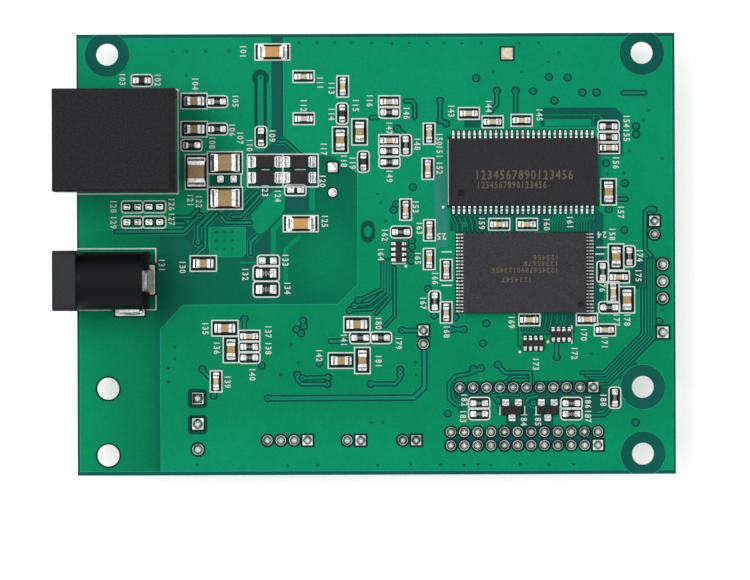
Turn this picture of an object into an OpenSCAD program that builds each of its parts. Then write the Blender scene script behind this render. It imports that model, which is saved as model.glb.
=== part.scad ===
// Populated controller board: laminate, network jack, power jack, two memory chips,
// small parts on the top side and pin headers on the underside. All sizes in millimetres.
//
// Frame: the origin is the centre of the four corner mounting holes, on the board's underside.
// +X runs from the jack end to the far end, +Y along the short side, +Z out of the parts side.

/* [Board] */
// Board length, along X
board_l = 89.5; // [81:0.5:100]
// Board width, along Y
board_w = 66; // [65:0.5:74]
// Board thickness
board_t = 1.6; // [1:0.1:2.4]
// Mounting hole diameter
mount_d = 3.3; // [2.8:0.1:3.8]
// Distance from the board's jack end to the middle of the corner holes
mount_inset_x = 4.6; // [4:0.1:6]
// Distance from the board's sides to the middle of its corner holes
mount_inset_y = 3; // [2.5:0.25:4]
// Distance from the lower corner holes to the extra pair
mount_step = 10; // [8:0.5:12]

/* [Pin headers] */
// Pitch of the fine headers
fine_pitch = 2; // [1.9:0.05:2.1]
// Side of a fine header's square pin
fine_pin = 0.5; // [0.4:0.05:0.6]
// Thickness of the fine headers' insulators
fine_block = 2; // [1.5:0.1:3]
// Pitch of the edge header
edge_pitch = 2.54; // [2.4:0.02:2.6]
// Side of the edge header's square pin
edge_pin = 0.64; // [0.5:0.02:0.7]
// Thickness of the edge header's insulator
edge_block = 2.5; // [2:0.1:3.5]
// Pitch of the supply header
post_pitch = 3.81; // [3.5:0.01:3.96]
// Side of the supply header's square post
post_pin = 0.64; // [0.5:0.02:0.8]
// Thickness of the supply header's insulator
post_block = 3.2; // [2.5:0.1:4]
// How far all the pins reach below the board
stack_h = 6; // [5:0.25:8]
// How far the pins stand out of the parts side
tip_h = 0.9; // [0.6:0.1:1.4]
// Clearance round a pin in its plated hole
hole_gap = 0.12; // [0.08:0.01:0.2]
// Width of the solder collar beyond its hole
collar_w = 0.26; // [0.18:0.02:0.32]

/* [Network jack] */
// Width across the housing
net_w = 15.24; // [15:0.02:16]
// Depth from the mouth to the back
net_d = 18.2; // [17.8:0.1:19]
// Height above the board
net_h = 13.2; // [13:0.1:14]
// Overhang past the board's edge
net_over = 3.15; // [2.25:0.05:3.4]
// Centre of the jack along Y
net_y = 17; // [16.5:0.25:17.5]
// Width of the plug opening
plug_w = 11.9; // [11.7:0.05:12.3]
// Height of the plug opening above its latch steps
plug_h = 6.8; // [6.6:0.05:7]
// Depth of the plug opening
plug_d = 12.6; // [12:0.1:13]
// Width of the upper latch step
latch_w = 6.4; // [6:0.1:7]
// Width of the lower latch step
catch_w = 4.2; // [3.6:0.1:5]
// Height of each latch step
latch_h = 1.4; // [1.2:0.05:1.5]
// Thickness of the floor under the latch steps
net_floor = 1.2; // [1:0.05:1.4]
// Pitch of the contact wires
wire_pitch = 1.02; // [0.98:0.01:1.06]
// Thickness of a contact wire
wire_t = 0.46; // [0.4:0.01:0.48]
// Diameter of the two locating pegs
peg_d = 3.25; // [3:0.05:3.4]
// Distance between the locating pegs
peg_pitch = 11.43; // [11:0.01:11.6]
// How far the pegs reach below the board
peg_out = 1.9; // [1.5:0.1:2.2]

/* [Power jack] */
// Width across the flange
pow_w = 9; // [8.8:0.1:9.6]
// Depth from the mouth to the back
pow_d = 14.2; // [14:0.1:15]
// Height above the board
pow_h = 11; // [10.9:0.1:11.6]
// Overhang past the board's edge
pow_over = 3.3; // [2.8:0.1:3.4]
// Centre of the jack along Y
pow_y = -3.85; // [-4.25:0.05:-3.25]
// Thickness of the front flange
flange_t = 3.5; // [3.2:0.1:3.8]
// Radius of the barrel behind the flange
barrel_r = 4.3; // [4:0.05:4.4]
// Height of the socket's axis above the board
pow_axis = 6.5; // [6.4:0.05:6.6]
// Diameter of the socket
socket_d = 6.3; // [6:0.05:6.5]
// Depth of the socket
socket_depth = 9.4; // [9:0.1:9.8]
// Diameter of the centre pin
pin_d = 2; // [1.9:0.05:2.1]
// Setback of the pin's tip from the mouth
pin_setback = 1; // [0.8:0.1:1.6]
// Thickness of the three terminals
term_t = 0.3; // [0.25:0.01:0.35]
// Width of the rear and side terminals
term_w = 3; // [2.6:0.1:3.2]
// How far terminals and contact wires reach below the board
tail_out = 1.6; // [1.2:0.1:1.8]

/* [Memory chip] */
// Body length, along X
mem_l = 22.22; // [22:0.02:22.6]
// Body width, along Y
mem_w = 10.16; // [10:0.02:10.4]
// Leads on each long side
mem_leads = 27; // [25:1:27]
// Lead pitch
mem_pitch = 0.8; // [0.78:0.01:0.82]
// Lead width
mem_lead_w = 0.35; // [0.25:0.01:0.4]

/* [Flash chip] */
// Body length, along X
flash_l = 18.4; // [18:0.05:18.6]
// Body width, along Y
flash_w = 12; // [11.8:0.05:12.1]
// Leads on each short side
flash_leads = 24; // [20:1:24]
// Lead pitch
flash_pitch = 0.5; // [0.48:0.01:0.5]
// Lead width
flash_lead_w = 0.22; // [0.18:0.01:0.26]

/* [Chip packages] */
// Thickness of both chip bodies
body_h = 1; // [0.9:0.05:1.2]
// Gap between a chip body and the board
standoff = 0.12; // [0.08:0.01:0.2]
// Lead thickness
lead_t = 0.15; // [0.12:0.01:0.18]
// Reach of a gull-wing lead past its body
lead_reach = 0.8; // [0.75:0.01:0.85]
// Draft of the moulded sides, in degrees
draft = 8; // [4:1:12]

/* [Small parts] */
// Plating thickness on the end caps
plating = 0.04; // [0.03:0.01:0.06]
// Length of the smallest chip parts
small_l = 1.6; // [1.5:0.05:1.7]
// Width of the smallest chip parts
small_w = 0.8; // [0.75:0.05:0.9]
// Height of the smallest capacitors
small_cap_h = 0.8; // [0.6:0.05:0.9]
// Height of the smallest resistors
small_res_h = 0.46; // [0.4:0.02:0.6]
// Length of the medium chip parts
medium_l = 2; // [1.9:0.05:2.1]
// Width of the medium chip parts
medium_w = 1.25; // [1.15:0.05:1.3]
// Height of the medium capacitors
medium_cap_h = 1; // [0.8:0.05:1.3]
// Height of the medium resistors
medium_res_h = 0.52; // [0.4:0.02:0.6]
// Length of the long capacitors
long_l = 3.2; // [3:0.05:3.4]
// Width of the narrow long capacitors
long_w = 1.6; // [1.5:0.05:1.7]
// Width of the wide long capacitors
wide_w = 2.5; // [2.4:0.05:2.6]
// Height of the long capacitors
long_h = 1.4; // [1.2:0.05:2]
// Pitch of the elements in a resistor array
array_pitch = 0.8; // [0.78:0.01:0.82]
// Length of a diode body
diode_l = 2.8; // [2.6:0.05:2.9]
// Width of a diode body
diode_w = 1.9; // [1.7:0.05:2]
// Height of a diode body
diode_h = 1.1; // [1:0.05:1.4]
// Length of a transistor body
tran_l = 2.9; // [2.8:0.05:3]
// Width of a transistor body
tran_w = 1.3; // [1.2:0.05:1.4]
// Height of a transistor body
tran_h = 1; // [0.9:0.05:1.1]

/* [Underside parts] */
// Side of the two square chip bodies
quad_side = 14; // [13.6:0.1:14.4]
// Thickness of the square chip bodies
quad_h = 1.4; // [1:0.1:1.6]
// Leads on each side of a square chip
quad_leads = 25; // [20:1:25]
// Length of the line transformer's body
line_l = 12.7; // [12:0.1:13]
// Width of the line transformer's body
line_w = 7; // [6.6:0.1:7.6]
// Height of the line transformer's body
line_h = 4.6; // [3:0.1:5]
// Leads on each long side of the line transformer
line_leads = 8; // [6:1:8]
// Pitch of the line transformer's leads
line_pitch = 1.27; // [1.2:0.01:1.3]
// Side of the power inductor
coil_side = 10; // [8:0.25:10.5]
// Height of the power inductor
coil_h = 4; // [3:0.1:5]
// Length of the regulator's body, without its tab
reg_l = 6.2; // [5.8:0.1:6.4]
// Width of the regulator's body
reg_w = 6.6; // [6.3:0.1:6.8]
// Height of the regulator's body
reg_h = 2.3; // [2:0.1:2.5]
// Length of a crystal
crystal_l = 5; // [4.5:0.1:6]
// Width of a crystal
crystal_w = 3.2; // [2.8:0.1:3.6]
// Height of a crystal
crystal_h = 1.1; // [0.8:0.05:1.5]

/* [Hidden] */
$fn = 48;

over = 1;           // how far a cutting shape runs past the face it opens
wall = 1.2;         // side and back walls of the moulded housings
slide = 0.05;       // clearance of pieces pushed together by hand
far_extra = 0.3;    // how much further the corner holes are from the far end
mount_pitch_x = board_l - 2 * mount_inset_x - far_extra;
mount_pitch_y = board_w - 2 * mount_inset_y;
left_edge = -mount_pitch_x / 2 - mount_inset_x;
right_edge = left_edge + board_l;

// The places below are measured on an 89.5 mm board. On another length, parts near an end keep their
// place from that end, and the middle zone, 14 mm to each side, takes up the rest.
end_shift = (board_l - 89.5) / 2;
function along(x) = x + end_shift * max(-1, min(1, x / 14));
function placed(list) = [for (p = list) [along(p[0]), p[1], p[2]]];

// Chip part sizes: length, width, height, length of an end cap
small_cap = [small_l, small_w, small_cap_h, small_l * 0.2];
small_res = [small_l, small_w, small_res_h, small_l * 0.2];
medium_cap = [medium_l, medium_w, medium_cap_h, medium_l * 0.22];
medium_res = [medium_l, medium_w, medium_res_h, medium_l * 0.2];
long_cap = [long_l, long_w, long_h, long_l * 0.16];
wide_cap = [long_l, wide_w, long_h + 0.4, long_l * 0.18];
array_size = [4 * array_pitch, long_w, 0.55];

// Where the chip parts sit: x, y, angle
wide_caps = placed([[-26.7, 12.4, 90], [-22.4, 13.75, 0], [-22.4, 8.45, 0]]);
long_caps = placed([[-11.1, 4.6, 0], [-15.25, 30.3, 0]]);
medium_caps = placed([
    [-27, 23, 0], [-27, 18.8, 0], [-25.7, -1.3, 0], [-22.5, -11, 0], [-2.75, -10.5, 0],
    [-5.1, -15.9, 0], [-5.15, 17.1, 90], [-2.25, 18.3, 90], [-21.6, -14.2, 90],
    [-1.95, -15.9, 90], [34.95, 9.2, 90], [36.05, -0.55, 90], [37.65, -6.95, 90]
]);
small_caps = placed([
    [-10.6, 26.6, 0], [-10.6, 20.3, 0], [-18.85, -12.2, 0], [2.2, 22.8, 0], [2.2, 17, 0],
    [14.1, 21, 0], [17.65, 19.75, 0], [22, 19.95, 0], [35.05, 15.8, 0], [18.6, 4.4, 0],
    [22.75, 4.4, 0], [23.05, -9.9, 0], [31.65, -9.85, 0], [34.35, -11.45, 0], [36.45, -3.55, 0],
    [-4.75, 25.1, 90], [8.15, 18, 90], [7.95, 12.75, 90], [4.6, 6.65, 90], [8.15, 3.55, 90],
    [8.1, -0.75, 90], [10.65, -2.4, 90], [10.6, -8.75, 90], [35.6, -5.8, 90], [-23.85, -18.95, 90]
]);
medium_ress = placed([[-16.3, -2.8, 0], [-16.3, -5.2, 0]]);
small_ress = placed([
    [-23.55, 22.9, 0], [-23.55, 18.8, 0], [-27.4, 16.4, 0], [2.2, 21.2, 0], [2.2, 15.4, 0],
    [2.2, 13.75, 0], [35, 19, 0], [35, 17.4, 0], [3.9, 3.3, 0], [-18.85, -13.8, 0],
    [-18.85, -15.4, 0], [-2.25, -12.5, 0], [0.85, -12.5, 0], [35, -8.1, 0], [15.5, -22.35, 0],
    [15.5, -23.95, 0], [29.3, -22.4, 0], [29.3, -24, 0], [4.65, 16.3, 90], [34.05, -2.75, 90],
    [38.05, -0.45, 90], [8.9, -7.1, 90], [35.8, -21.6, 90]
]);
ferrites = placed([[-34.8, 26.1, 0], [-4.85, 21.05, 90], [-17, 17.6, 90], [-1.7, 13.85, 90]]);
arrays = placed([[3.55, 0.35, 90], [23.6, -13.4, 0], [27.8, -12.1, 0]]);
diode_bank = [along(-13.85), 12.675];
diodes = [for (dx = [-2.55, 2.55], dy = [1.175, -1.175]) [diode_bank[0] + dx, diode_bank[1] + dy, 0]];
transistors = placed([[20.4, -23.4, 0], [25.75, -23.4, 0]]);
memory_at = [along(22.15), 12.2];
flash_at = [along(22.4), -2.85];

// Where the underside parts sit: x, y, angle
processor_at = [along(22), 4, 0];
controller_at = [along(-3), 14, 0];
line_at = [along(-20), 17, 90];
coil_at = [along(-12), -14, 0];
reg_at = [along(-22), -5, 0];
crystals = placed([[8, 2.6, 90], [-16, 4, 0]]);
coil_foot = 0.4;    // thickness of the inductor's terminals
reg_foot = 0.5;     // thickness of the regulator's tab and leads

// Headers: centre, columns, rows
double_header = [[along(22.25), -27.65], 12, 2];
long_header = [[along(22.6), -20], 11, 1];
four_way_header = [[along(-13.2), -27.8], 4, 1];
two_way_headers = [
    [[along(-3.25), -27.85], 2, 1], [[along(5.05), -27.85], 2, 1], [[along(7.2), -12.45], 1, 2],
    [[right_edge - 3.1, 3.85], 1, 2]
];
edge_header = [[right_edge - 1.9, -6.75], 1, 5];
edge_gap = 1;       // the position of the edge header, counted from below, that has no pin
supply_header = [[along(-26.6), -25.3], 1, 3];

// Mounting holes: the four corners, then the extra pair
corner_holes = [for (x = [-1, 1], y = [-1, 1]) [x * mount_pitch_x / 2, y * mount_pitch_y / 2]];
extra_holes = [for (x = [-1, 1]) [x * mount_pitch_x / 2, mount_step - mount_pitch_y / 2]];

// Network jack, in its own frame: x from the mouth, y from the middle, z from the board
net_front = left_edge - net_over;
plug_floor = net_floor + 2 * latch_h;
plug_top = plug_floor + plug_h;
wires = 8;
wire_rows = [net_d - 1 - 2.54, net_d - 1];      // tails of the odd and the even wires
peg_x = wire_rows[0] - 8.89;
wire_bend = 0.4;
tongue_h = 0.8;                                 // tongue that the wires are bent round
wire_top = plug_top + 0.1 + tongue_h + slide + wire_t / 2;
trough_top = wire_top + wire_t / 2 + 2 * slide;
trough_w = (wires - 1) * wire_pitch + wire_t + 1;
tongue_x = 2.6;                                 // front edge of the tongue
wire_dip = 2.1;                                 // how far the free ends hang into the opening
roof_run = 0.85;                                // sloping edge at the back of the roof
roof_drop = 0.5;

// Power jack, in its own frame: x from the mouth, y from the middle, z from the board
pow_front = left_edge - pow_over;
barrel_end = pow_d - 0.9;
rear_term_x = pow_d + term_t / 2 + 0.25;
side_term_x = 11.2;
side_term_y = -(pow_w / 2 + 0.25);
pin_root = pin_d / 2 + 0.25;                    // radius of the pin's part inside the housing
pin_tail = pin_d / 2 - 0.3;                     // radius of its riveted end
sleeve_x = 7.7;
sleeve_w = 2.2;
slot_w = term_t + 0.5;                          // width of the terminals' slots in the board

// ---------------------------------------------------------------- shared shapes

function unit(v) = v / norm(v);
function left(v) = [-v[1], v[0]];

// Points of a bent strip's edge round the corner b of the path a-b-c, offset to the left
function corner(a, b, c, r, side, steps) =
    let (u = unit(b - a), w = unit(c - b), s = cross(u, w) < 0 ? -1 : 1, turn = acos(u * w),
         centre = b - r * tan(turn / 2) * u + s * r * left(u), start = atan2(-s * left(u)[1], -s * left(u)[0]))
    [for (i = [0 : steps]) let (at = start + s * turn * i / steps) centre + (r - s * side) * [cos(at), sin(at)]];

function edge(path, r, side, steps) = let (n = len(path)) concat(
    [path[0] + side * left(unit(path[1] - path[0]))],
    [for (i = [1 : n - 2]) each corner(path[i - 1], path[i], path[i + 1], r, side, steps)],
    [path[n - 1] + side * left(unit(path[n - 1] - path[n - 2]))]);

function backwards(v) = [for (i = [len(v) - 1 : -1 : 0]) v[i]];

// A strip of metal bent along a path in the XZ plane, w wide along Y
module bent_strip(path, r, t, w, steps = 4) {
    rotate([90, 0, 0])
        linear_extrude(w, center = true)
            polygon(concat(edge(path, r, t / 2, steps), backwards(edge(path, r, -t / 2, steps))));
}

// A slot's outline, its long side along X
module slot_outline(l, w) {
    square([l - w, w], center = true);
    for (s = [-1, 1])
        translate([s * (l - w) / 2, 0])
            circle(d = w);
}

// Children at each place of a list, standing on the board
module on_board(places) {
    for (p = places)
        translate([p[0], p[1], board_t])
            rotate(p[2])
                children();
}

// Drafted outline of a moulded body, widest along the band where the leads leave it
module draft_outline(l, h, band) {
    cut = (h - band) / 2 * tan(draft);
    half = l / 2;
    low = (h - band) / 2;
    polygon([
        [-half + cut, 0], [half - cut, 0], [half, low], [half, low + band],
        [half - cut, h], [-half + cut, h], [-half, low + band], [-half, low]
    ]);
}

module moulded_body(l, w, h, band) {
    intersection() {
        rotate([90, 0, 0])
            linear_extrude(w, center = true)
                draft_outline(l, h, band);
        rotate([90, 0, 90])
            linear_extrude(l, center = true)
                draft_outline(w, h, band);
    }
}

// ---------------------------------------------------------------- pin headers

function header_places(h, pitch) = [for (c = [0 : h[1] - 1], r = [0 : h[2] - 1])
    h[0] + pitch * [c - (h[1] - 1) / 2, r - (h[2] - 1) / 2]];

edge_places = let (all = header_places(edge_header, edge_pitch))
    [for (i = [0 : len(all) - 1]) if (i != edge_gap) all[i]];
double_places = header_places(double_header, fine_pitch);
long_places = header_places(long_header, fine_pitch);
four_way_places = header_places(four_way_header, fine_pitch);
two_way_places = [for (h = two_way_headers) each header_places(h, fine_pitch)];
supply_places = header_places(supply_header, post_pitch);
fine_places = concat(double_places, long_places, four_way_places, two_way_places);

function pin_hole(pin) = pin * sqrt(2) + 2 * hole_gap;

// Square pin with a blunt point at both ends
module header_pin(pin) {
    top = board_t + tip_h;
    half = pin / 2;
    tip = pin / 4;
    outline = [
        [-tip, -stack_h], [tip, -stack_h], [half, pin - stack_h], [half, top - tip],
        [tip, top], [-tip, top], [-half, top - tip], [-half, pin - stack_h]
    ];
    intersection() {
        rotate([90, 0, 0])
            linear_extrude(pin, center = true)
                polygon(outline);
        rotate([90, 0, 90])
            linear_extrude(pin, center = true)
                polygon(outline);
    }
}

module header_pins(places, pin) {
    color("gainsboro")
        for (p = places)
            translate(p)
                header_pin(pin);
}

// Insulator under the board: a notch between each two pins, as such strips are moulded
module header_block(h, pitch, block, pin) {
    size = pitch * [h[1], h[2]];
    notch = pitch * 0.16;
    along = h[1] >= h[2];
    color("#1c1c1e")
        difference() {
            translate([h[0][0], h[0][1], -block / 2])
                cube([size[0], size[1], block], center = true);
            for (i = [1 : 1 : max(h[1], h[2]) - 1], s = [-1, 1])
                translate([h[0][0], h[0][1], -block / 2])
                    rotate(along ? 0 : 90)
                        translate([(i - max(h[1], h[2]) / 2) * pitch, s * min(size[0], size[1]) / 2, 0])
                            rotate(45)
                                cube([notch * sqrt(2), notch * sqrt(2), block + over], center = true);
            for (p = header_places(h, pitch))
                translate([p[0], p[1], -block / 2])
                    cube([pin + 2 * slide, pin + 2 * slide, block + over], center = true);
        }
}

// Solder that fills a plated hole and rises round the pin on the parts side
module solder_joint(pin) {
    hole = pin_hole(pin) / 2;
    collar = hole + collar_w;
    rise = tip_h * 0.7;
    color("silver")
        difference() {
            rotate_extrude()
                polygon([
                    [0, 0], [hole, 0], [hole, board_t], [collar, board_t], [collar * 0.86, board_t + rise * 0.28],
                    [collar * 0.66, board_t + rise * 0.66], [pin * 0.62, board_t + rise], [0, board_t + rise]
                ]);
            translate([0, 0, board_t / 2])
                cube([pin, pin, board_t + 2 * (rise + over)], center = true);
        }
}

module double_header_insulator() header_block(double_header, fine_pitch, fine_block, fine_pin);
module double_header_pins() header_pins(double_places, fine_pin);
module long_header_insulator() header_block(long_header, fine_pitch, fine_block, fine_pin);
module long_header_pins() header_pins(long_places, fine_pin);
module four_way_header_insulator() header_block(four_way_header, fine_pitch, fine_block, fine_pin);
module four_way_header_pins() header_pins(four_way_places, fine_pin);
module two_way_header_insulators() {
    for (h = two_way_headers)
        header_block(h, fine_pitch, fine_block, fine_pin);
}
module two_way_header_pins() header_pins(two_way_places, fine_pin);
module edge_header_insulator() header_block(edge_header, edge_pitch, edge_block, edge_pin);
module edge_header_pins() header_pins(edge_places, edge_pin);
module supply_header_insulator() header_block(supply_header, post_pitch, post_block, post_pin);
module supply_header_posts() header_pins(supply_places, post_pin);

module header_solder() {
    for (p = fine_places)
        translate(p)
            solder_joint(fine_pin);
    for (p = edge_places)
        translate(p)
            solder_joint(edge_pin);
    for (p = supply_places)
        translate(p)
            solder_joint(post_pin);
}

// ---------------------------------------------------------------- board

function wire_place(i) = [net_front + wire_rows[i % 2], net_y + (i - (wires - 1) / 2) * wire_pitch];
wire_places = [for (i = [0 : wires - 1]) wire_place(i)];
wire_hole = wire_t * sqrt(2) + 2 * hole_gap;
peg_places = [for (s = [-1, 1]) [net_front + peg_x, net_y + s * peg_pitch / 2]];

// Terminals' slots: place, angle and length
term_slots = [
    [[pow_front + rear_term_x, pow_y], 90, term_w + 0.5],
    [[pow_front + side_term_x, pow_y + side_term_y], 0, term_w + 0.5],
    [[pow_front + sleeve_x, pow_y], 90, sleeve_w + 0.5]
];

module board() {
    color("seagreen")
        difference() {
            translate([left_edge, -board_w / 2, 0])
                cube([board_l, board_w, board_t]);
            for (p = concat(corner_holes, extra_holes))
                board_hole(p, mount_d);
            for (p = fine_places)
                board_hole(p, pin_hole(fine_pin));
            for (p = edge_places)
                board_hole(p, pin_hole(edge_pin));
            board_hole(header_places(edge_header, edge_pitch)[edge_gap], pin_hole(edge_pin));
            for (p = supply_places)
                board_hole(p, pin_hole(post_pin));
            for (p = wire_places)
                board_hole(p, wire_hole);
            for (p = peg_places)
                board_hole(p, peg_d + 2 * slide);
            for (s = term_slots)
                translate([s[0][0], s[0][1], -over])
                    rotate(s[1])
                        linear_extrude(board_t + 2 * over)
                            slot_outline(s[2], slot_w);
        }
}

module board_hole(p, d) {
    translate([p[0], p[1], -over])
        cylinder(d = d, h = board_t + 2 * over);
}

// ---------------------------------------------------------------- network jack

module in_net_jack() {
    translate([net_front, net_y, board_t])
        children();
}

// A cuboid from x0 to x1 and z0 to z1, centred across
module span(x0, x1, w, z0, z1) {
    translate([x0, -w / 2, z0])
        cube([x1 - x0, w, z1 - z0]);
}

module network_jack_housing() {
    back = plug_d;                              // where the contact insert begins
    color("#26262a")
        in_net_jack() {
            difference() {
                rotate([90, 0, 90])
                    linear_extrude(net_d)
                        net_outline();
                span(-over, back + over, plug_w, plug_floor, plug_top);
                span(-over, back, latch_w, plug_floor - latch_h, plug_top);
                span(wall, back, catch_w, net_floor, plug_top);
                span(-over, wall + over, catch_w - 1, net_floor, plug_top);
                span(wall, back + over, trough_w, plug_floor, trough_top);
                span(back, net_d + over, net_w - 2 * wall, -over, trough_top);
                // lead-in at the mouth
                rotate([90, 0, 0])
                    linear_extrude(plug_w - 2 * over, center = true)
                        polygon([[-over, plug_top], [0.8, plug_top], [-over, plug_top + 1.8 * 0.8]]);
                // sloping edge at the back of the roof
                rotate([90, 0, 0])
                    linear_extrude(net_w + 2 * over, center = true)
                        polygon([
                            [net_d - roof_run, net_h], [net_d - roof_run, net_h + over], [net_d + over, net_h + over],
                            [net_d + over, net_h - roof_drop * (1 + over / roof_run)]
                        ]);
                // hollows under the floor, beside the latch steps
                for (s = [-1, 1])
                    translate([peg_x + 2.6, s * (latch_w / 2 + 1.9), -over])
                        translate([0, -1.3, 0])
                            cube([back - peg_x - 3.6, 2.6, over + plug_floor - 1]);
            }
            for (s = [-1, 1])
                translate([peg_x, s * peg_pitch / 2, 0])
                    locating_peg();
        }
}

// End view of the housing: bevelled top edges and two feet that stand on the board
module net_outline() {
    half = net_w / 2;
    bevel = 0.35;
    foot = 0.3;
    polygon([
        [-half, 0], [1.8 - half, 0], [2 - half, foot], [half - 2, foot], [half - 1.8, 0], [half, 0],
        [half, net_h - bevel], [half - bevel, net_h], [bevel - half, net_h], [-half, net_h - bevel]
    ]);
}

// Peg with a pointed end, split so that it snaps into its hole
module locating_peg() {
    length = board_t + peg_out;
    difference() {
        union() {
            translate([0, 0, -length + 0.6])
                cylinder(d = peg_d, h = length);
            translate([0, 0, -length])
                cylinder(d1 = peg_d - 1.1, d2 = peg_d, h = 0.6);
        }
        translate([0, 0, -length / 2 - 1])
            cube([peg_d + over, 0.7, length], center = true);
    }
}

function wire_path(i) = [
    [wire_rows[i % 2], -board_t - tail_out], [wire_rows[i % 2], wire_top],
    [tongue_x - wire_bend - wire_t, wire_top], [tongue_x - wire_bend - wire_t, plug_top - wire_t],
    [plug_d - 1.5, plug_top - wire_dip]
];

module contact_wire(i, t) {
    translate([0, (i - (wires - 1) / 2) * wire_pitch, 0])
        bent_strip(wire_path(i), wire_bend, t, t);
}

// Rear block and forward tongue that carry the contact wires in slots
module network_jack_insert() {
    block_w = net_w - 2 * wall - 2 * slide;
    tongue_z = plug_top + 0.1;
    color("#303034")
        in_net_jack()
            difference() {
                union() {
                    span(plug_d + slide, net_d - 0.2, block_w, 0.3, trough_top - slide);
                    span(tongue_x, plug_d + over, trough_w - 2 * slide, tongue_z, tongue_z + tongue_h);
                    for (s = [-1, 1])
                        translate([0, s * (trough_w / 2 - slide - 0.2), 0])
                            span(tongue_x, plug_d + over, 0.4, tongue_z, trough_top - slide);
                }
                for (i = [0 : wires - 1])
                    contact_wire(i, wire_t + 2 * slide);
                // comb that keeps the free ends apart
                span(plug_d - over, plug_d + 0.7, trough_w - 1.2, plug_top - wire_dip - 1, plug_top - 0.4);
            }
}

module network_jack_contacts() {
    color("gold")
        in_net_jack()
            for (i = [0 : wires - 1])
                contact_wire(i, wire_t);
}

// ---------------------------------------------------------------- power jack

module in_power_jack() {
    translate([pow_front, pow_y, board_t])
        children();
}

// A round bar or bore along X on the socket's axis
module along_axis(x0, x1, d) {
    translate([x0, 0, pow_axis])
        rotate([0, 90, 0])
            cylinder(d = d, h = x1 - x0);
}

module power_jack_housing() {
    groove = term_w + 0.4;
    color("#17171a")
        in_power_jack()
            difference() {
                union() {
                    rotate([90, 0, 90])
                        linear_extrude(flange_t)
                            flange_outline();
                    span(flange_t, barrel_end, 2 * barrel_r, 0, pow_axis);
                    along_axis(flange_t, barrel_end, 2 * barrel_r);
                    span(barrel_end, pow_d, 2 * barrel_r, 0, pow_axis - 0.4);
                }
                along_axis(-over, socket_depth, socket_d);
                // lead-in round the mouth
                translate([-0.01, 0, pow_axis])
                    rotate([0, 90, 0])
                        cylinder(d1 = socket_d + 1, d2 = socket_d, h = 0.5);
                along_axis(socket_depth - over, barrel_end + over, 2 * (pin_root + slide));
                // groove for the rear terminal
                span(barrel_end, pow_d + over, groove, -over, pow_h);
                // slot for the sleeve spring, open below
                span(flange_t, sleeve_x + term_t + 0.2, sleeve_w + 0.3, -over, pow_axis);
                // slot for the side terminal, open at the side
                translate([side_term_x, side_term_y / 2, 0])
                    translate([-term_w / 2 - 0.15, side_term_y, -over])
                        cube([term_w + 0.3, -side_term_y - 0.9, pow_axis + over - 1.2]);
            }
}

// Front view of the flange: square below, with rounded upper corners
module flange_outline() {
    r = 1;
    translate([-pow_w / 2, 0])
        square([pow_w, pow_h - r]);
    translate([-pow_w / 2 + r, 0])
        square([pow_w - 2 * r, pow_h]);
    for (s = [-1, 1])
        translate([s * (pow_w / 2 - r), pow_h - r])
            circle(r);
}

// Centre pin: domed tip, relief groove, thicker root in the housing, riveted behind the rear terminal
module power_jack_pin() {
    tip = pin_d / 4;
    color("gainsboro")
        in_power_jack() {
            translate([0, 0, pow_axis])
                rotate([0, 90, 0])
                    rotate_extrude()
                        pin_outline(tip);
        }
}

module pin_outline(tip) {
    back = barrel_end + term_t + slide;
    relief = 0.3;
    polygon([
        [0, pin_setback], [pin_d / 2 - tip, pin_setback], [pin_d / 2, pin_setback + tip],
        [pin_d / 2, socket_depth - relief], [pin_tail, socket_depth - relief], [pin_tail, socket_depth],
        [pin_root, socket_depth], [pin_root, barrel_end], [pin_tail, barrel_end],
        [pin_tail, back], [pin_tail + 0.9, back], [pin_tail + 0.7, back + 0.35], [0, back + 0.45]
    ]);
}

module power_jack_rear_terminal() {
    x = barrel_end + slide / 2 + term_t / 2;
    color("silver")
        in_power_jack()
            difference() {
                bent_strip([[x, pow_axis + 1.7], [x, pow_axis - 2.2], [rear_term_x, 2], [rear_term_x, -board_t - tail_out]],
                           0.4, term_t, term_w);
                along_axis(barrel_end - over, rear_term_x, 2 * (pin_tail + slide));
            }
}

// Side terminal: a tail beside the housing and a finger turned into its slot
module power_jack_side_terminal() {
    reach = 1.6;
    color("silver")
        in_power_jack()
            translate([side_term_x, 0, 0])
                rotate(-90)
                    bent_strip([[-side_term_y - reach, 3.6], [-side_term_y, 3.6], [-side_term_y, -board_t - tail_out]],
                               0.4, term_t, term_w);
}

// Spring that presses on the plug's sleeve from below
module power_jack_sleeve_spring() {
    bore_low = pow_axis - socket_d / 2;
    color("silver")
        in_power_jack()
            bent_strip([[flange_t + 0.4, bore_low - 0.7], [flange_t + 1.6, bore_low + 0.5], [sleeve_x, bore_low - 0.9],
                        [sleeve_x, -board_t - tail_out]], 0.4, term_t, sleeve_w);
}

// Solder in the holes and slots of both jacks, with a low fillet on the underside
module jack_solder() {
    fillet = 0.5;
    color("silver") {
        for (i = [0 : wires - 1])
            translate([wire_place(i)[0], wire_place(i)[1], 0])
                difference() {
                    union() {
                        cylinder(d = wire_hole, h = board_t);
                        translate([0, 0, -fillet])
                            cylinder(d1 = wire_t * 1.5, d2 = wire_hole + 0.5, h = fillet);
                    }
                    cube([wire_t, wire_t, 2 * (board_t + over)], center = true);
                }
        for (s = term_slots)
            translate([s[0][0], s[0][1], 0])
                rotate(s[1])
                    difference() {
                        union() {
                            linear_extrude(board_t)
                                slot_outline(s[2], slot_w);
                            translate([0, 0, -0.25])
                                linear_extrude(0.25)
                                    slot_outline(s[2] + 0.8, slot_w + 0.8);
                        }
                        cube([s[2] - 0.5, term_t, 2 * (board_t + over)], center = true);
                    }
    }
}

// ---------------------------------------------------------------- memory chips

// Gull-wing lead that leaves a body of height h halfway up
function gull_wing(h) = let (z = standoff + h / 2) [
    [0, z], [lead_reach * 0.34, z], [lead_reach * 0.46, lead_t / 2], [lead_reach, lead_t / 2]
];

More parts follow.
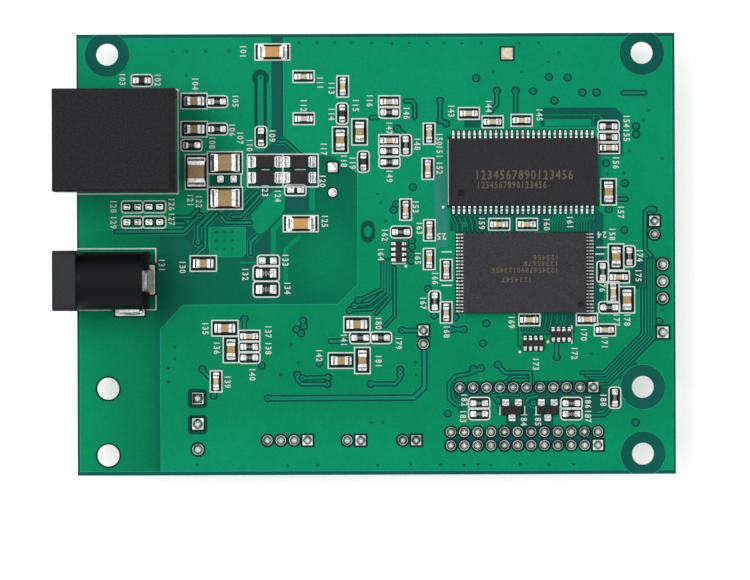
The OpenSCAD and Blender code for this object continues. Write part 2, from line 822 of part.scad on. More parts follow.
// One side's leads, leaving towards +X from a body l long and h high
module lead_row(count, pitch, w, l, h) {
    for (i = [0 : count - 1])
        translate([l / 2, (i - (count - 1) / 2) * pitch, 0])
            bent_strip(gull_wing(h), 0.14, lead_t, w, 2);
}

module both_sides() {
    for (a = [0, 180])
        rotate(a)
            children();
}

module chip_body(at, l, w, dimple, dimple_d) {
    color("#37363b")
        translate([at[0], at[1], board_t + standoff])
            difference() {
                moulded_body(l, w, body_h, lead_t);
                translate([dimple[0], dimple[1], body_h - 0.08])
                    cylinder(d = dimple_d, h = over);
            }
}

module memory_body() chip_body(memory_at, mem_l, mem_w, [1.9 - mem_l / 2, 2 - mem_w / 2], 1);
module flash_body() chip_body(flash_at, flash_l, flash_w, [flash_l / 2 - 1, 1 - flash_w / 2], 0.9);

module memory_leads() {
    color("gainsboro")
        on_board([[memory_at[0], memory_at[1], 90]])
            both_sides()
                lead_row(mem_leads, mem_pitch, mem_lead_w, mem_w, body_h);
}

module flash_leads() {
    color("gainsboro")
        on_board([[flash_at[0], flash_at[1], 0]])
            both_sides()
                lead_row(flash_leads, flash_pitch, flash_lead_w, flash_l, body_h);
}

// ---------------------------------------------------------------- diodes and transistors

module small_body(l, w, h, t) {
    translate([0, 0, 0.05])
        moulded_body(l, w, h - 0.05, t);
}

function small_lead_path(h, reach) = [
    [0, (h + 0.05) / 2], [reach * 0.3, (h + 0.05) / 2], [reach * 0.4, lead_t / 2], [reach, lead_t / 2]
];

module diode_bodies() {
    color("#1b1a1c")
        on_board(diodes)
            small_body(diode_l, diode_w, diode_h, lead_t);
}

module diode_leads() {
    color("gainsboro")
        on_board(diodes)
            both_sides()
                translate([diode_l / 2, 0, 0])
                    bent_strip(small_lead_path(diode_h, 0.6), 0.12, lead_t, diode_w * 0.75);
}

module transistor_bodies() {
    color("#1b1a1c")
        on_board(transistors)
            small_body(tran_l, tran_w, tran_h, lead_t);
}

// Two leads on the upper side and one on the lower side
module transistor_leads() {
    color("gainsboro")
        on_board(transistors)
            for (lead = [[-0.95, 90], [0.95, 90], [0, -90]])
                translate([lead[0], sin(lead[1]) * tran_w / 2, 0])
                    rotate(lead[1])
                        bent_strip(small_lead_path(tran_h, 0.55), 0.12, lead_t, 0.4);
}

// ---------------------------------------------------------------- chip parts

module ceramic_core(size) {
    translate([0, 0, size[2] / 2])
        cube([size[0] - 2 * plating, size[1] - 2 * plating, size[2] - 2 * plating], center = true);
}

// End caps that wrap the core on five sides, with bevelled outer corners
module end_caps(size) {
    bevel = plating * 1.5;
    half = size[0] / 2;
    side = size[1] / 2;
    difference() {
        for (s = [-1, 1])
            scale([s, 1, 1])
                linear_extrude(size[2])
                    polygon([
                        [half - size[3], -side], [half - bevel, -side], [half, bevel - side],
                        [half, side - bevel], [half - bevel, side], [half - size[3], side]
                    ]);
        ceramic_core(size);
    }
}

module chip_cores(places, size, tint) {
    color(tint)
        on_board(places)
            ceramic_core(size);
}

module chip_ends(places, size) {
    color("gainsboro")
        on_board(places)
            end_caps(size);
}

module wide_capacitor_bodies() chip_cores(wide_caps, wide_cap, "#a98550");
module wide_capacitor_ends() chip_ends(wide_caps, wide_cap);
module long_capacitor_bodies() chip_cores(long_caps, long_cap, "#b0854f");
module long_capacitor_ends() chip_ends(long_caps, long_cap);
module medium_capacitor_bodies() chip_cores(medium_caps, medium_cap, "#b39a6c");
module medium_capacitor_ends() chip_ends(medium_caps, medium_cap);
module small_capacitor_bodies() chip_cores(small_caps, small_cap, "#d6b184");
module small_capacitor_ends() chip_ends(small_caps, small_cap);
module medium_resistor_bodies() chip_cores(medium_ress, medium_res, "#222224");
module medium_resistor_ends() chip_ends(medium_ress, medium_res);
module small_resistor_bodies() chip_cores(small_ress, small_res, "#2a2a2c");
module small_resistor_ends() chip_ends(small_ress, small_res);
module ferrite_bodies() chip_cores(ferrites, small_cap, "#5d5a5c");
module ferrite_ends() chip_ends(ferrites, small_cap);

// Four resistors in one body, with a pair of end caps to each
array_end_w = array_pitch * 0.56;
array_end_l = 0.3;

module array_core() {
    translate([0, 0, array_size[2] / 2])
        cube([array_size[0], array_size[1] - 2 * plating, array_size[2] - 2 * plating], center = true);
}

module array_bodies() {
    color("#1d1d1f")
        on_board(arrays)
            array_core();
}

module array_ends() {
    color("gainsboro")
        on_board(arrays)
            difference() {
                for (i = [0 : 3], s = [-1, 1])
                    translate([(i - 1.5) * array_pitch, s * (array_size[1] - array_end_l) / 2, array_size[2] / 2])
                        cube([array_end_w, array_end_l, array_size[2]], center = true);
                array_core();
            }
}

// ---------------------------------------------------------------- underside parts

// Children at a place under the board, hanging from it
module under_board(at) {
    translate([at[0], at[1], 0])
        rotate([180, 0, 0])
            rotate(at[2])
                children();
}

module quad_body() {
    dimple = quad_side / 2 - 1.5;
    translate([0, 0, standoff])
        difference() {
            moulded_body(quad_side, quad_side, quad_h, lead_t);
            translate([-dimple, -dimple, quad_h - 0.08])
                cylinder(d = 1.2, h = over);
        }
}

module quad_leads_all() {
    for (a = [0 : 90 : 270])
        rotate(a)
            lead_row(quad_leads, flash_pitch, flash_lead_w, quad_side, quad_h);
}

module processor_body() {
    color("#2b2b2e")
        under_board(processor_at)
            quad_body();
}

module processor_leads() {
    color("gainsboro")
        under_board(processor_at)
            quad_leads_all();
}

module network_controller_body() {
    color("#2b2b2e")
        under_board(controller_at)
            quad_body();
}

module network_controller_leads() {
    color("gainsboro")
        under_board(controller_at)
            quad_leads_all();
}

module line_transformer_body() {
    color("#202022")
        under_board(line_at)
            translate([0, 0, standoff])
                moulded_body(line_l, line_w, line_h, lead_t);
}

module line_transformer_leads() {
    color("gainsboro")
        under_board([line_at[0], line_at[1], line_at[2] + 90])
            both_sides()
                lead_row(line_leads, line_pitch, 0.45, line_w, line_h);
}

// Square inductor with bevelled corners, on two terminals wrapped under its ends
module power_inductor_body() {
    half = coil_side / 2;
    bevel = half * 0.3;
    color("#3b3b3e")
        under_board(coil_at)
            translate([0, 0, coil_foot])
                linear_extrude(coil_h - coil_foot)
                    polygon([
                        [-half, bevel - half], [bevel - half, -half], [half - bevel, -half], [half, bevel - half],
                        [half, half - bevel], [half - bevel, half], [bevel - half, half], [-half, half - bevel]
                    ]);
}

module power_inductor_terminals() {
    width = coil_side * 0.3;
    length = coil_side * 0.25;
    color("silver")
        under_board(coil_at)
            for (s = [-1, 1])
                translate([s * (coil_side - length) / 2, 0, coil_foot / 2])
                    cube([length, width, coil_foot], center = true);
}

module regulator_body() {
    color("#232325")
        under_board(reg_at)
            translate([0, 0, reg_foot])
                moulded_body(reg_l, reg_w, reg_h - reg_foot, 0.5);
}

// Heat tab under and behind the body, and two leads with the middle one cut short
module regulator_tab_and_leads() {
    tab_out = 1;
    tab_w = reg_w * 0.8;
    color("silver")
        under_board(reg_at) {
            translate([-reg_l / 2 - tab_out, -tab_w / 2, 0])
                cube([reg_l * 0.8 + tab_out, tab_w, reg_foot]);
            for (s = [-1, 1])
                translate([reg_l / 2, s * 2.28, 0])
                    bent_strip([[0, reg_h / 2], [0.8, reg_h / 2], [1.3, reg_foot / 2], [2.8, reg_foot / 2]],
                               0.5, reg_foot, 0.76);
            translate([reg_l / 2, 0, reg_h / 2])
                translate([0, -0.38, -reg_foot / 2])
                    cube([0.8, 0.76, reg_foot]);
        }
}

module crystal_bases() {
    color("#c9b48a")
        for (at = crystals)
            under_board(at)
                translate([0, 0, crystal_h * 0.35])
                    cube([crystal_l, crystal_w, crystal_h * 0.7], center = true);
}

module crystal_lids() {
    rim = 0.3;
    color("silver")
        for (at = crystals)
            under_board(at)
                translate([0, 0, crystal_h * 0.85])
                    cube([crystal_l - 2 * rim, crystal_w - 2 * rim, crystal_h * 0.3], center = true);
}

// ---------------------------------------------------------------- nodes

board();
network_jack_housing();
network_jack_insert();
network_jack_contacts();
power_jack_housing();
power_jack_pin();
power_jack_rear_terminal();
power_jack_side_terminal();
power_jack_sleeve_spring();
memory_body();
memory_leads();
flash_body();
flash_leads();
diode_bodies();
diode_leads();
transistor_bodies();
transistor_leads();
array_bodies();
array_ends();
wide_capacitor_bodies();
wide_capacitor_ends();
long_capacitor_bodies();
long_capacitor_ends();
medium_capacitor_bodies();
medium_capacitor_ends();
small_capacitor_bodies();
small_capacitor_ends();
medium_resistor_bodies();
medium_resistor_ends();
small_resistor_bodies();
small_resistor_ends();
ferrite_bodies();
ferrite_ends();
double_header_insulator();
double_header_pins();
long_header_insulator();
long_header_pins();
four_way_header_insulator();
four_way_header_pins();
two_way_header_insulators();
two_way_header_pins();
edge_header_insulator();
edge_header_pins();
supply_header_insulator();
supply_header_posts();
header_solder();
jack_solder();
processor_body();
processor_leads();
network_controller_body();
network_controller_leads();
line_transformer_body();
line_transformer_leads();
power_inductor_body();
power_inductor_terminals();
regulator_body();
regulator_tab_and_leads();
crystal_bases();
crystal_lids();
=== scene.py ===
import bpy
import bmesh
from math import atan2, cos, hypot, pi, radians, sin
from mathutils import Matrix, Vector


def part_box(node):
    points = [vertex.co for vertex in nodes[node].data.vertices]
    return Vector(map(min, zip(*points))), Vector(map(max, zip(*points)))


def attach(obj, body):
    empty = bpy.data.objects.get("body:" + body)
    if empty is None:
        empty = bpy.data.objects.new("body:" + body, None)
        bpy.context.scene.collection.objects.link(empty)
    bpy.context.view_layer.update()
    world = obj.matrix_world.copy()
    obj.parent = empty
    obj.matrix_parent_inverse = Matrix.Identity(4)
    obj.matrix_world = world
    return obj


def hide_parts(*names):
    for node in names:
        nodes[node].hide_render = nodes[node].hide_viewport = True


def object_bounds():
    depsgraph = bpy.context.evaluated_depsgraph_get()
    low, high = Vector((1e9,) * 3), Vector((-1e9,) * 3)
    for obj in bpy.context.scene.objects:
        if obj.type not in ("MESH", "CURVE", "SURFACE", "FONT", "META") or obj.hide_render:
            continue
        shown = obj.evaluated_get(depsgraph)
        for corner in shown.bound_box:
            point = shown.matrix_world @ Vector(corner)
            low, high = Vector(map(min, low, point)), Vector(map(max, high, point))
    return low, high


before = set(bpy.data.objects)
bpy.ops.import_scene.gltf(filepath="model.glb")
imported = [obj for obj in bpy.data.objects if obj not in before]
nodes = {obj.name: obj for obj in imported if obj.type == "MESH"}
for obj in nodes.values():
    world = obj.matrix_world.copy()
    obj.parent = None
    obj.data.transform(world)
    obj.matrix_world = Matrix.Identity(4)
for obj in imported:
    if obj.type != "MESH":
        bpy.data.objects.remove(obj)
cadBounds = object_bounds()
mm = 0.001
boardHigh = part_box("board")[1] / mm
top = boardHigh.z


class Value:
    # an output socket whose operators add Math nodes

    def __init__(self, shader, socket):
        self.shader = shader
        self.socket = socket

    def apply(self, operation, *terms):
        return self.shader.node("ShaderNodeMath", {"operation": operation}, dict(enumerate(terms)))

    def __add__(self, other):
        return self.apply("ADD", self, other)

    def __sub__(self, other):
        return self.apply("SUBTRACT", self, other)

    def __mul__(self, other):
        return self.apply("MULTIPLY", self, other)

    def __lt__(self, other):
        return self.apply("LESS_THAN", self, other)

    def __abs__(self):
        return self.apply("ABSOLUTE", self)


class Shader:
    # the nodes of a new material, or of a new world

    def __init__(self, name, owners=bpy.data.materials, last="Principled BSDF"):
        self.owner = owners.new(name)
        self.owner.use_nodes = True
        self.tree = self.owner.node_tree
        self.last = self.tree.nodes[last]

    def node(self, kind, settings, inputs, out=0):
        made = self.tree.nodes.new(kind)
        for key, setting in settings.items():
            if key == "stops":
                ramp = made.color_ramp
                while len(ramp.elements) < len(setting):
                    ramp.elements.new(0.5)
                for element, (place, colour) in zip(ramp.elements, setting):
                    element.position = place
                    element.color = (*colour, 1)
            else:
                setattr(made, key, setting)
        for key, value in inputs.items():
            self.put(made.inputs[key], value)
        return Value(self, made.outputs[out])

    def put(self, socket, value):
        if isinstance(value, Value):
            self.tree.links.new(value.socket, socket)
        elif socket.type == "RGBA" and len(value) == 3:
            socket.default_value = (*value, 1)
        else:
            socket.default_value = value

    def place(self):
        return self.node("ShaderNodeTexCoord", {}, {}, "Object")

    def noise(self, blotch, detail=3, roughness=0.6):
        # blotch is the width of a patch, in millimetres
        return self.node("ShaderNodeTexNoise", {}, {
            "Vector": self.place(), "Scale": 1 / (blotch * mm), "Detail": detail, "Roughness": roughness})

    def ramp(self, value, *stops):
        return self.node("ShaderNodeValToRGB", {"stops": stops}, {0: value})

    def part(self, vector, axis):
        return self.node("ShaderNodeSeparateXYZ", {}, {0: vector}, "XYZ".index(axis))

    def level(self):
        # 1 where a surface lies flat, 0 where it is upright
        return abs(self.part(self.node("ShaderNodeNewGeometry", {}, {}, "Normal"), "Z"))

    def mix(self, factor, first, second, blend="MIX"):
        return self.node("ShaderNodeMix", {"data_type": "RGBA", "blend_type": blend},
                         {0: factor, 6: first, 7: second}, 2)

    def times(self, first, second):
        return self.mix(1.0, first, second, "MULTIPLY")

    def spread(self, value, stops):
        # colour stops at distances in millimetres
        first, last = stops[0][0], stops[-1][0]
        share = self.node("ShaderNodeMapRange", {},
                          {"Value": value, "From Min": first * mm, "From Max": last * mm})
        return self.ramp(share, *[((at - first) / (last - first), colour) for at, colour in stops])

    def bump(self, height, depth):
        # depth in millimetres
        return self.node("ShaderNodeBump", {}, {"Strength": 1.0, "Distance": depth * mm, "Height": height})

    def finish(self, sockets):
        for name, value in sockets.items():
            self.put(self.last.inputs[name], value)
        return self.owner


def shade(colour, factor):
    return tuple(min(1, channel * factor) for channel in colour)


def grey(level):
    return (level, level, level)


lacquer = {
    "bare": (0.0040, 0.110, 0.080), "gap": (0.0030, 0.078, 0.056), "shadow": (0.0030, 0.034, 0.027),
    "pourLow": (0.0008, 0.262, 0.108), "pourHigh": (0.0015, 0.298, 0.138), "pale": (0.0290, 0.255, 0.185),
    # the pale tone of copper edges is a painted highlight, where raised copper catches the light
    "track": (0.0030, 0.270, 0.140), "rim": (0.0120, 0.330, 0.190),
    "roughness": 0.45, "sheen": 0.045,
    # widths of the slow clouds and of the fine specks, tones of the specks and depth of their relief
    "cloud": 8, "speck": 0.3, "speckTones": (0.93, 1.04), "relief": 0.003,
}
toneChanges = {
    # colours at distances along an axis, or from a point: the power area is brightest over the regulator
    "pour": ("Y", [(-33, lacquer["pourHigh"]), (-29, lacquer["pourHigh"]), (-23, lacquer["pourLow"]),
                   (-4, lacquer["pourLow"]), (12, lacquer["pourHigh"]), (33, lacquer["pourHigh"])]),
    "left": ("X", [(-44.5, (0.0012, 0.290, 0.116)), (-41, (0.0008, 0.262, 0.108)),
                   (-36.5, (0.0006, 0.228, 0.098)), (-34, (0.0006, 0.196, 0.089)),
                   (-32.4, (0.0006, 0.150, 0.078))]),
    # the power area also darkens towards the power jack, in part inner copper seen through and in part a
    # painted shadow of the jack
    "power": ((-6.8, -1.2), [(0, (0.0004, 0.226, 0.104)), (4, (0.0004, 0.200, 0.094)),
                             (8, (0.0006, 0.166, 0.084)), (14, (0.0010, 0.142, 0.078)),
                             (20, (0.0016, 0.134, 0.076)), (26, (0.0020, 0.122, 0.074))]),
}


def changingTone(shader, way, stops):
    if way in ("X", "Y"):
        return shader.spread(shader.part(shader.place(), way), stops)
    far = shader.node("ShaderNodeVectorMath", {"operation": "DISTANCE"},
                      {0: shader.place(), 1: (way[0] * mm, way[1] * mm, top * mm)}, "Value")
    return shader.spread(far, stops)


def maskMaterial(name, tone, spread=0.05):
    # solder mask: lacquer with clouds and fine specks, in one tone or one that changes over the board
    shader = Shader(name)
    slow = shader.noise(lacquer["cloud"])
    fine = shader.noise(lacquer["speck"], 2, 0.5)
    colour = changingTone(shader, *toneChanges[tone]) if tone in toneChanges else lacquer[tone]
    cloud = shader.ramp(slow, (0.3, grey(1 - spread)), (0.7, grey(1 + spread)))
    dark, bright = lacquer["speckTones"]
    speck = shader.ramp(fine, (0.35, grey(dark)), (0.65, grey(bright)))
    return shader.finish({
        "Base Color": shader.times(shader.times(colour, cloud), speck),
        "Roughness": slow * 0.2 + (lacquer["roughness"] - 0.1),
        "Specular IOR Level": lacquer["sheen"], "Normal": shader.bump(fine, lacquer["relief"])})


masks = {
    # tone, and how far its clouds vary
    "pourMask": ("pour",), "leftMask": ("left",), "powerMask": ("power",), "paleMask": ("pale",),
    "bareMask": ("bare", 0.10), "gapMask": ("gap", 0.10), "shadowMask": ("shadow", 0.15),
    "trackMask": ("track",), "rimMask": ("rim", 0.10), "underMask": ("pourLow",),
}

laminate = {
    # width and strength of the clouds in its mask, thickness of a cloth layer, tones of the cut edges
    "cloud": 9, "spread": 0.10, "layer": 0.2, "resin": (0.10, 0.115, 0.045), "cloth": (0.17, 0.185, 0.080),
}


def boardMaterial(name):
    # mask on the faces, and glass-epoxy with its cloth layers on the cut edges
    shader = Shader(name)
    slow = shader.noise(laminate["cloud"])
    face = shader.mix(slow, shade(lacquer["bare"], 1 - laminate["spread"]),
                      shade(lacquer["bare"], 1 + laminate["spread"]))
    upright = shader.level() < 0.5
    layers = (shader.part(shader.place(), "Z") * (2 * pi / (laminate["layer"] * mm))).apply("SINE")
    edge = shader.mix(layers * 0.5 + 0.5, laminate["resin"], laminate["cloth"])
    return shader.finish({"Base Color": shader.mix(upright, face, edge), "Roughness": lacquer["roughness"],
                          "Specular IOR Level": lacquer["sheen"]})


prints = {
    # colour, and how dark its worn spots are
    "silkPrint": ((0.80, 0.84, 0.80), 0.78), "numberPrint": ((0.74, 0.80, 0.75), 0.70),
    "laserPrint": ((0.150, 0.130, 0.085), 0.55), "partPrint": ((0.42, 0.42, 0.42), 0.78),
}


def printMaterial(name, colour, wear):
    shader = Shader(name)
    worn = shader.noise(0.16)
    tone = shader.ramp(worn, (0.34, shade(colour, wear)), (0.56, colour))
    return shader.finish({"Base Color": tone, "Roughness": 0.6, "Specular IOR Level": 0.15,
                          "Normal": shader.bump(worn, 0.003)})


metals = {
    # colour, roughness, width and darkness of its blotches; the dark blotches are a painted reflection of
    # dark surroundings
    "solder": ((0.84, 0.85, 0.84), 0.30, 0.40, 0.45), "pinSolder": ((0.82, 0.83, 0.82), 0.32, 2.2, 0.42),
    "dullSolder": ((0.46, 0.46, 0.44), 0.42, 0.35, 0.45), "dullLead": ((0.44, 0.43, 0.41), 0.42, 0.35, 0.50),
    "tinnedLead": ((0.82, 0.83, 0.83), 0.34, 0.4, 0.55), "tinnedCap": ((0.80, 0.80, 0.78), 0.36, 0.32, 0.50),
    "brightPin": ((0.88, 0.88, 0.86), 0.24, 0.5, 0.55), "goldPlate": ((0.62, 0.56, 0.44), 0.36, 0.5, 0.70),
    "goldWire": ((0.90, 0.66, 0.26), 0.25, 0.8, 0.75),
    # tin that mirrors nothing, painted pale and greenish: painted light that lifts it out of the housing's
    # shade, and a painted reflection of the green board
    "dullTerminal": ((0.84, 0.92, 0.87), 0.45, 0.4, 0.60, 0.0),
}


def metalMaterial(name, colour, roughness, blotch, dark, metallic=1.0):
    # bright metal with blotches, whose dark tone is a painted reflection of dark surroundings, and a duller
    # tone, painted shade, where a surface slopes steeply
    shader = Shader(name)
    spots = shader.noise(blotch)
    tone = shader.ramp(spots, (0.36, shade(colour, dark)), (0.58, colour))
    steepShade = shader.ramp(shader.level(), (0.25, shade(colour, dark * 0.45)), (0.80, grey(1)))
    return shader.finish({
        "Base Color": shader.times(tone, steepShade), "Metallic": metallic,
        "Roughness": spots * 0.25 + (roughness - 0.12), "Normal": shader.bump(spots, 0.015)})


plastics = {
    # colour, roughness, width and depth of its grain, then sheen, how far its tone varies and its dimple
    "jackPlastic": ((0.0150, 0.0148, 0.0180), 0.62, 0.26, 0.03, 0.12, 0.55),
    "barrelPlastic": ((0.0040, 0.0042, 0.0052), 0.38, 0.25, 0.006, 0.10),
    # the flange's lighter colour is a painted sheen on its flat top
    "flangePlastic": ((0.026, 0.027, 0.032), 0.60, 0.30, 0.02, 0.15, 0.2),
    "insertPlastic": ((0.030, 0.030, 0.034), 0.5, 0.4, 0.01),
    "headerPlastic": ((0.012, 0.012, 0.013), 0.45, 0.4, 0.01, 0.3),
    "memoryPlastic": ((0.0200, 0.0195, 0.0235), 0.62, 0.20, 0.02, 0.15, 0.35, (12.94, 9.12, 0.52)),
    "flashPlastic": ((0.0330, 0.0330, 0.0385), 0.62, 0.20, 0.02, 0.15, 0.35, (30.7, -7.6, 0.47)),
    "chipPlastic": ((0.014, 0.014, 0.016), 0.5, 0.16, 0.02, 0.2),
    "smallPlastic": ((0.0110, 0.0095, 0.0100), 0.5, 0.2, 0.01, 0.2, 0.25),
    "glaze": ((0.010, 0.010, 0.012), 0.3, 0.3, 0.004, 0.3),
    "arrayGlaze": ((0.008, 0.008, 0.009), 0.35, 0.3, 0.004, 0.3),
    "ferriteGrey": ((0.040, 0.038, 0.040), 0.5, 0.3, 0.01),
    "inductorGrey": ((0.030, 0.030, 0.032), 0.6, 0.4, 0.02),
    "tanCeramic": ((0.62, 0.49, 0.33), 0.5, 0.3, 0.004, 0.2, 0.10),
    "brownCeramic": ((0.44, 0.300, 0.148), 0.5, 0.25, 0.004, 0.2, 0.14),
    "orangeCeramic": ((0.63, 0.33, 0.11), 0.5, 0.3, 0.004, 0.2, 0.10),
    "crystalCeramic": ((0.42, 0.34, 0.22), 0.5, 0.3, 0.004),
}


def plasticMaterial(name, colour, roughness, grain, depth, sheen=0.15, spread=0.12, dimple=None):
    # plastic or ceramic with a moulded grain; a dimple is x, y and radius, painted darker than the rest as
    # shade in its hollow
    shader = Shader(name)
    fine = shader.noise(grain, 3, 0.65)
    tone = shader.ramp(fine, (0.36, shade(colour, 1 - spread)), (0.64, shade(colour, 1 + spread)))
    if dimple:
        x, y = (shader.part(shader.place(), "XY"[axis]) - dimple[axis] * mm for axis in (0, 1))
        tone = shader.mix((x * x + y * y) < (dimple[2] * mm) ** 2, tone, shade(colour, 0.25))
    return shader.finish({"Base Color": tone, "Roughness": fine * 0.15 + (roughness - 0.08),
                          "Specular IOR Level": sheen, "Normal": shader.bump(fine, depth)})


finishes = {"boardLaminate": boardMaterial("boardLaminate")}
for make, table in ((maskMaterial, masks), (printMaterial, prints), (metalMaterial, metals),
                    (plasticMaterial, plastics)):
    for name, values in table.items():
        finishes[name] = make(name, *values)
print("materials made")

nodeFinishes = {
    "boardLaminate": ["board"], "jackPlastic": ["network_jack_housing"],
    "insertPlastic": ["network_jack_insert"], "goldWire": ["network_jack_contacts"],
    "barrelPlastic": ["power_jack_housing"],
    "dullTerminal": ["power_jack_pin", "power_jack_rear_terminal"],
    "tinnedLead": ["power_jack_side_terminal", "power_jack_sleeve_spring", "power_inductor_terminals"],
    "memoryPlastic": ["memory_body"], "flashPlastic": ["flash_body"],
    "chipPlastic": ["processor_body", "network_controller_body", "line_transformer_body"],
    "smallPlastic": ["diode_bodies", "transistor_bodies", "regulator_body"],
    "arrayGlaze": ["array_bodies"], "glaze": ["medium_resistor_bodies", "small_resistor_bodies"],
    "ferriteGrey": ["ferrite_bodies"], "inductorGrey": ["power_inductor_body"],
    "brownCeramic": ["wide_capacitor_bodies", "medium_capacitor_bodies"],
    "orangeCeramic": ["long_capacitor_bodies"], "tanCeramic": ["small_capacitor_bodies"],
    "crystalCeramic": ["crystal_bases"], "tinnedCap": ["crystal_lids"],
    "pinSolder": ["header_solder"], "solder": ["jack_solder"], "dullLead": ["flash_leads"],
}
# the other nodes, by the ends of their names
endFinishes = {"_ends": "tinnedCap", "_leads": "tinnedLead", "_pins": "brightPin", "_posts": "brightPin",
               "": "headerPlastic"}
for name, node in nodes.items():
    own = [finish for finish in nodeFinishes if name in nodeFinishes[finish]]
    finish = (own or [endFinishes[end] for end in endFinishes if name.endswith(end)])[0]
    node.data.materials.clear()
    node.data.materials.append(finishes[finish])
print("CAD nodes finished")

# what lies on what, in millimetres: each level holds the tops of one kind of flat sheet
sides = {"top": {"base": top, "sign": 1}, "under": {"base": 0.0, "sign": -1}}
levels = ["inner", "pour", "edge", "area", "patch", "rim", "gap", "deep", "track", "via", "land", "silk",
          "print"]
thin = {"first": 0.004, "apart": 0.0082, "step": 0.00072, "steps": 11, "margin": 0.02,
        # the shortest line that is drawn, and the share of a shape's width that one corner may take
        "shortest": 0.001, "roundest": 0.49}
layer = {name: thin["first"] + thin["apart"] * index for index, name in enumerate(levels)}


def meshFrom(name, bm):
    mesh = bpy.data.meshes.new(name)
    bm.to_mesh(mesh)
    bm.free()
    return mesh


def linked(name, data):
    made = bpy.data.objects.new(name, data)
    bpy.context.scene.collection.objects.link(made)
    return made


def edgesOf(verts):
    # each edge once, in the same order on every run
    return list(dict.fromkeys(edge for vert in verts for edge in vert.link_edges))


def extruded(bm, faces, vec):
    raised = bmesh.ops.extrude_face_region(bm, geom=faces)["geom"]
    lifted = [item for item in raised if isinstance(item, bmesh.types.BMVert)]
    bmesh.ops.translate(bm, verts=lifted, vec=vec)


def bevelEdges(bm, edges, width, segments):
    bmesh.ops.bevel(bm, geom=edges, offset=width, affect="EDGES", segments=segments, profile=0.5,
                    clamp_overlap=True, material=-1)


def corners(x0, y0, x1, y1):
    return [(x0, y0), (x1, y0), (x1, y1), (x0, y1)]


class Layer:
    # flat shapes of one material; shapes that may overlap lie a hair apart, so their tops never coincide

    def __init__(self, name, finish, height, side="top", slotName="laminate"):
        self.name = name
        self.finishName = finish
        self.side = sides[side]
        self.height = layer[height] if height in layer else height
        self.slotName = slotName
        self.bm = bmesh.new()
        self.placed = []

    def rise(self, at, reach):
        # the lowest step that no shape beside this one has taken
        near = {step for x, y, across, along, step in self.placed
                if abs(x - at[0]) < across + reach[0] and abs(y - at[1]) < along + reach[1]}
        step = min(set(range(thin["steps"])) - near, default=len(self.placed) % thin["steps"])
        self.placed.append((at[0], at[1], reach[0], reach[1], step))
        return self.height + step * thin["step"]

    def block(self, middle, size, angle=0.0, round=0.0):
        across, along = abs(cos(angle)) / 2, abs(sin(angle)) / 2
        high = self.rise(middle, (size[0] * across + size[1] * along, size[0] * along + size[1] * across))
        turn = Matrix.Translation((middle[0], middle[1], high / 2)) @ Matrix.Rotation(angle, 4, "Z")
        shape = Matrix.Diagonal((size[0], size[1], high, 1))
        verts = bmesh.ops.create_cube(self.bm, size=1, matrix=turn @ shape)["verts"]
        if round:
            upright = [edge for edge in edgesOf(verts)
                       if abs(edge.verts[0].co.z - edge.verts[1].co.z) > high / 2]
            bevelEdges(self.bm, upright, min(round, min(size) * thin["roundest"]), 3)

    def disc(self, at, radius, sides=16):
        high = self.rise(at, (radius, radius))
        bmesh.ops.create_cone(self.bm, cap_ends=True, segments=sides, radius1=radius, radius2=radius,
                              depth=high, matrix=Matrix.Translation((at[0], at[1], high / 2)))

    def ring(self, at, inner, outer, sides):
        place = Matrix.Translation((at[0], at[1], 0))
        edges = []
        for radius in (inner, outer):
            edges += edgesOf(bmesh.ops.create_circle(self.bm, cap_ends=False, segments=sides, radius=radius,
                                                     matrix=place)["verts"])
        self.raiseFaces(bmesh.ops.bridge_loops(self.bm, edges=edges)["faces"])

    def raiseFaces(self, faces):
        spots = [vert.co.copy() for face in faces for vert in face.verts]
        low, high = (Vector([pick(spot[axis] for spot in spots) for axis in (0, 1)]) for pick in (min, max))
        extruded(self.bm, faces, (0, 0, self.rise((low + high) / 2, (high - low) / 2)))

    def stroke(self, points, width, closed=False):
        # flat line with round joints
        ends = list(points) + ([points[0]] if closed else [])
        for (x0, y0), (x1, y1) in zip(ends, ends[1:]):
            length = hypot(x1 - x0, y1 - y0)
            self.disc((x0, y0), width / 2, 12)
            if length > thin["shortest"]:
                self.block(((x0 + x1) / 2, (y0 + y1) / 2), (length, width), atan2(y1 - y0, x1 - x0))
        if not closed:
            self.disc(ends[-1], width / 2, 12)

    def plate(self, points):
        self.raiseFaces([self.bm.faces.new([self.bm.verts.new((x, y, 0)) for x, y in points])])

    def trim(self):
        # nothing stands out past the board's long edges
        reach = boardHigh.y - thin["margin"]
        for sign in (1, -1):
            everything = self.bm.verts[:] + self.bm.edges[:] + self.bm.faces[:]
            cut = bmesh.ops.bisect_plane(self.bm, geom=everything, plane_co=(0, sign * reach, 0),
                                         plane_no=(0, sign, 0), clear_outer=True)
            rims = [item for item in cut["geom_cut"] if isinstance(item, bmesh.types.BMEdge)]
            bmesh.ops.holes_fill(self.bm, edges=rims, sides=0)

    def stamp(self, mesh, place):
        # a copy of a mesh, put in its place; only where nothing is bevelled, so vertices keep their order
        before = len(self.bm.verts)
        self.bm.from_mesh(mesh)
        self.bm.verts.ensure_lookup_table()
        bmesh.ops.transform(self.bm, matrix=place, verts=self.bm.verts[before:])

    def finish(self, cutter=None, smooth=False):
        bmesh.ops.scale(self.bm, vec=(1, 1, self.side["sign"]), verts=self.bm.verts)
        bmesh.ops.translate(self.bm, vec=(0, 0, self.side["base"]), verts=self.bm.verts)
        for face in self.bm.faces:
            face.smooth = smooth
        finishPiece(self.name, self.bm, self.finishName, cutter)


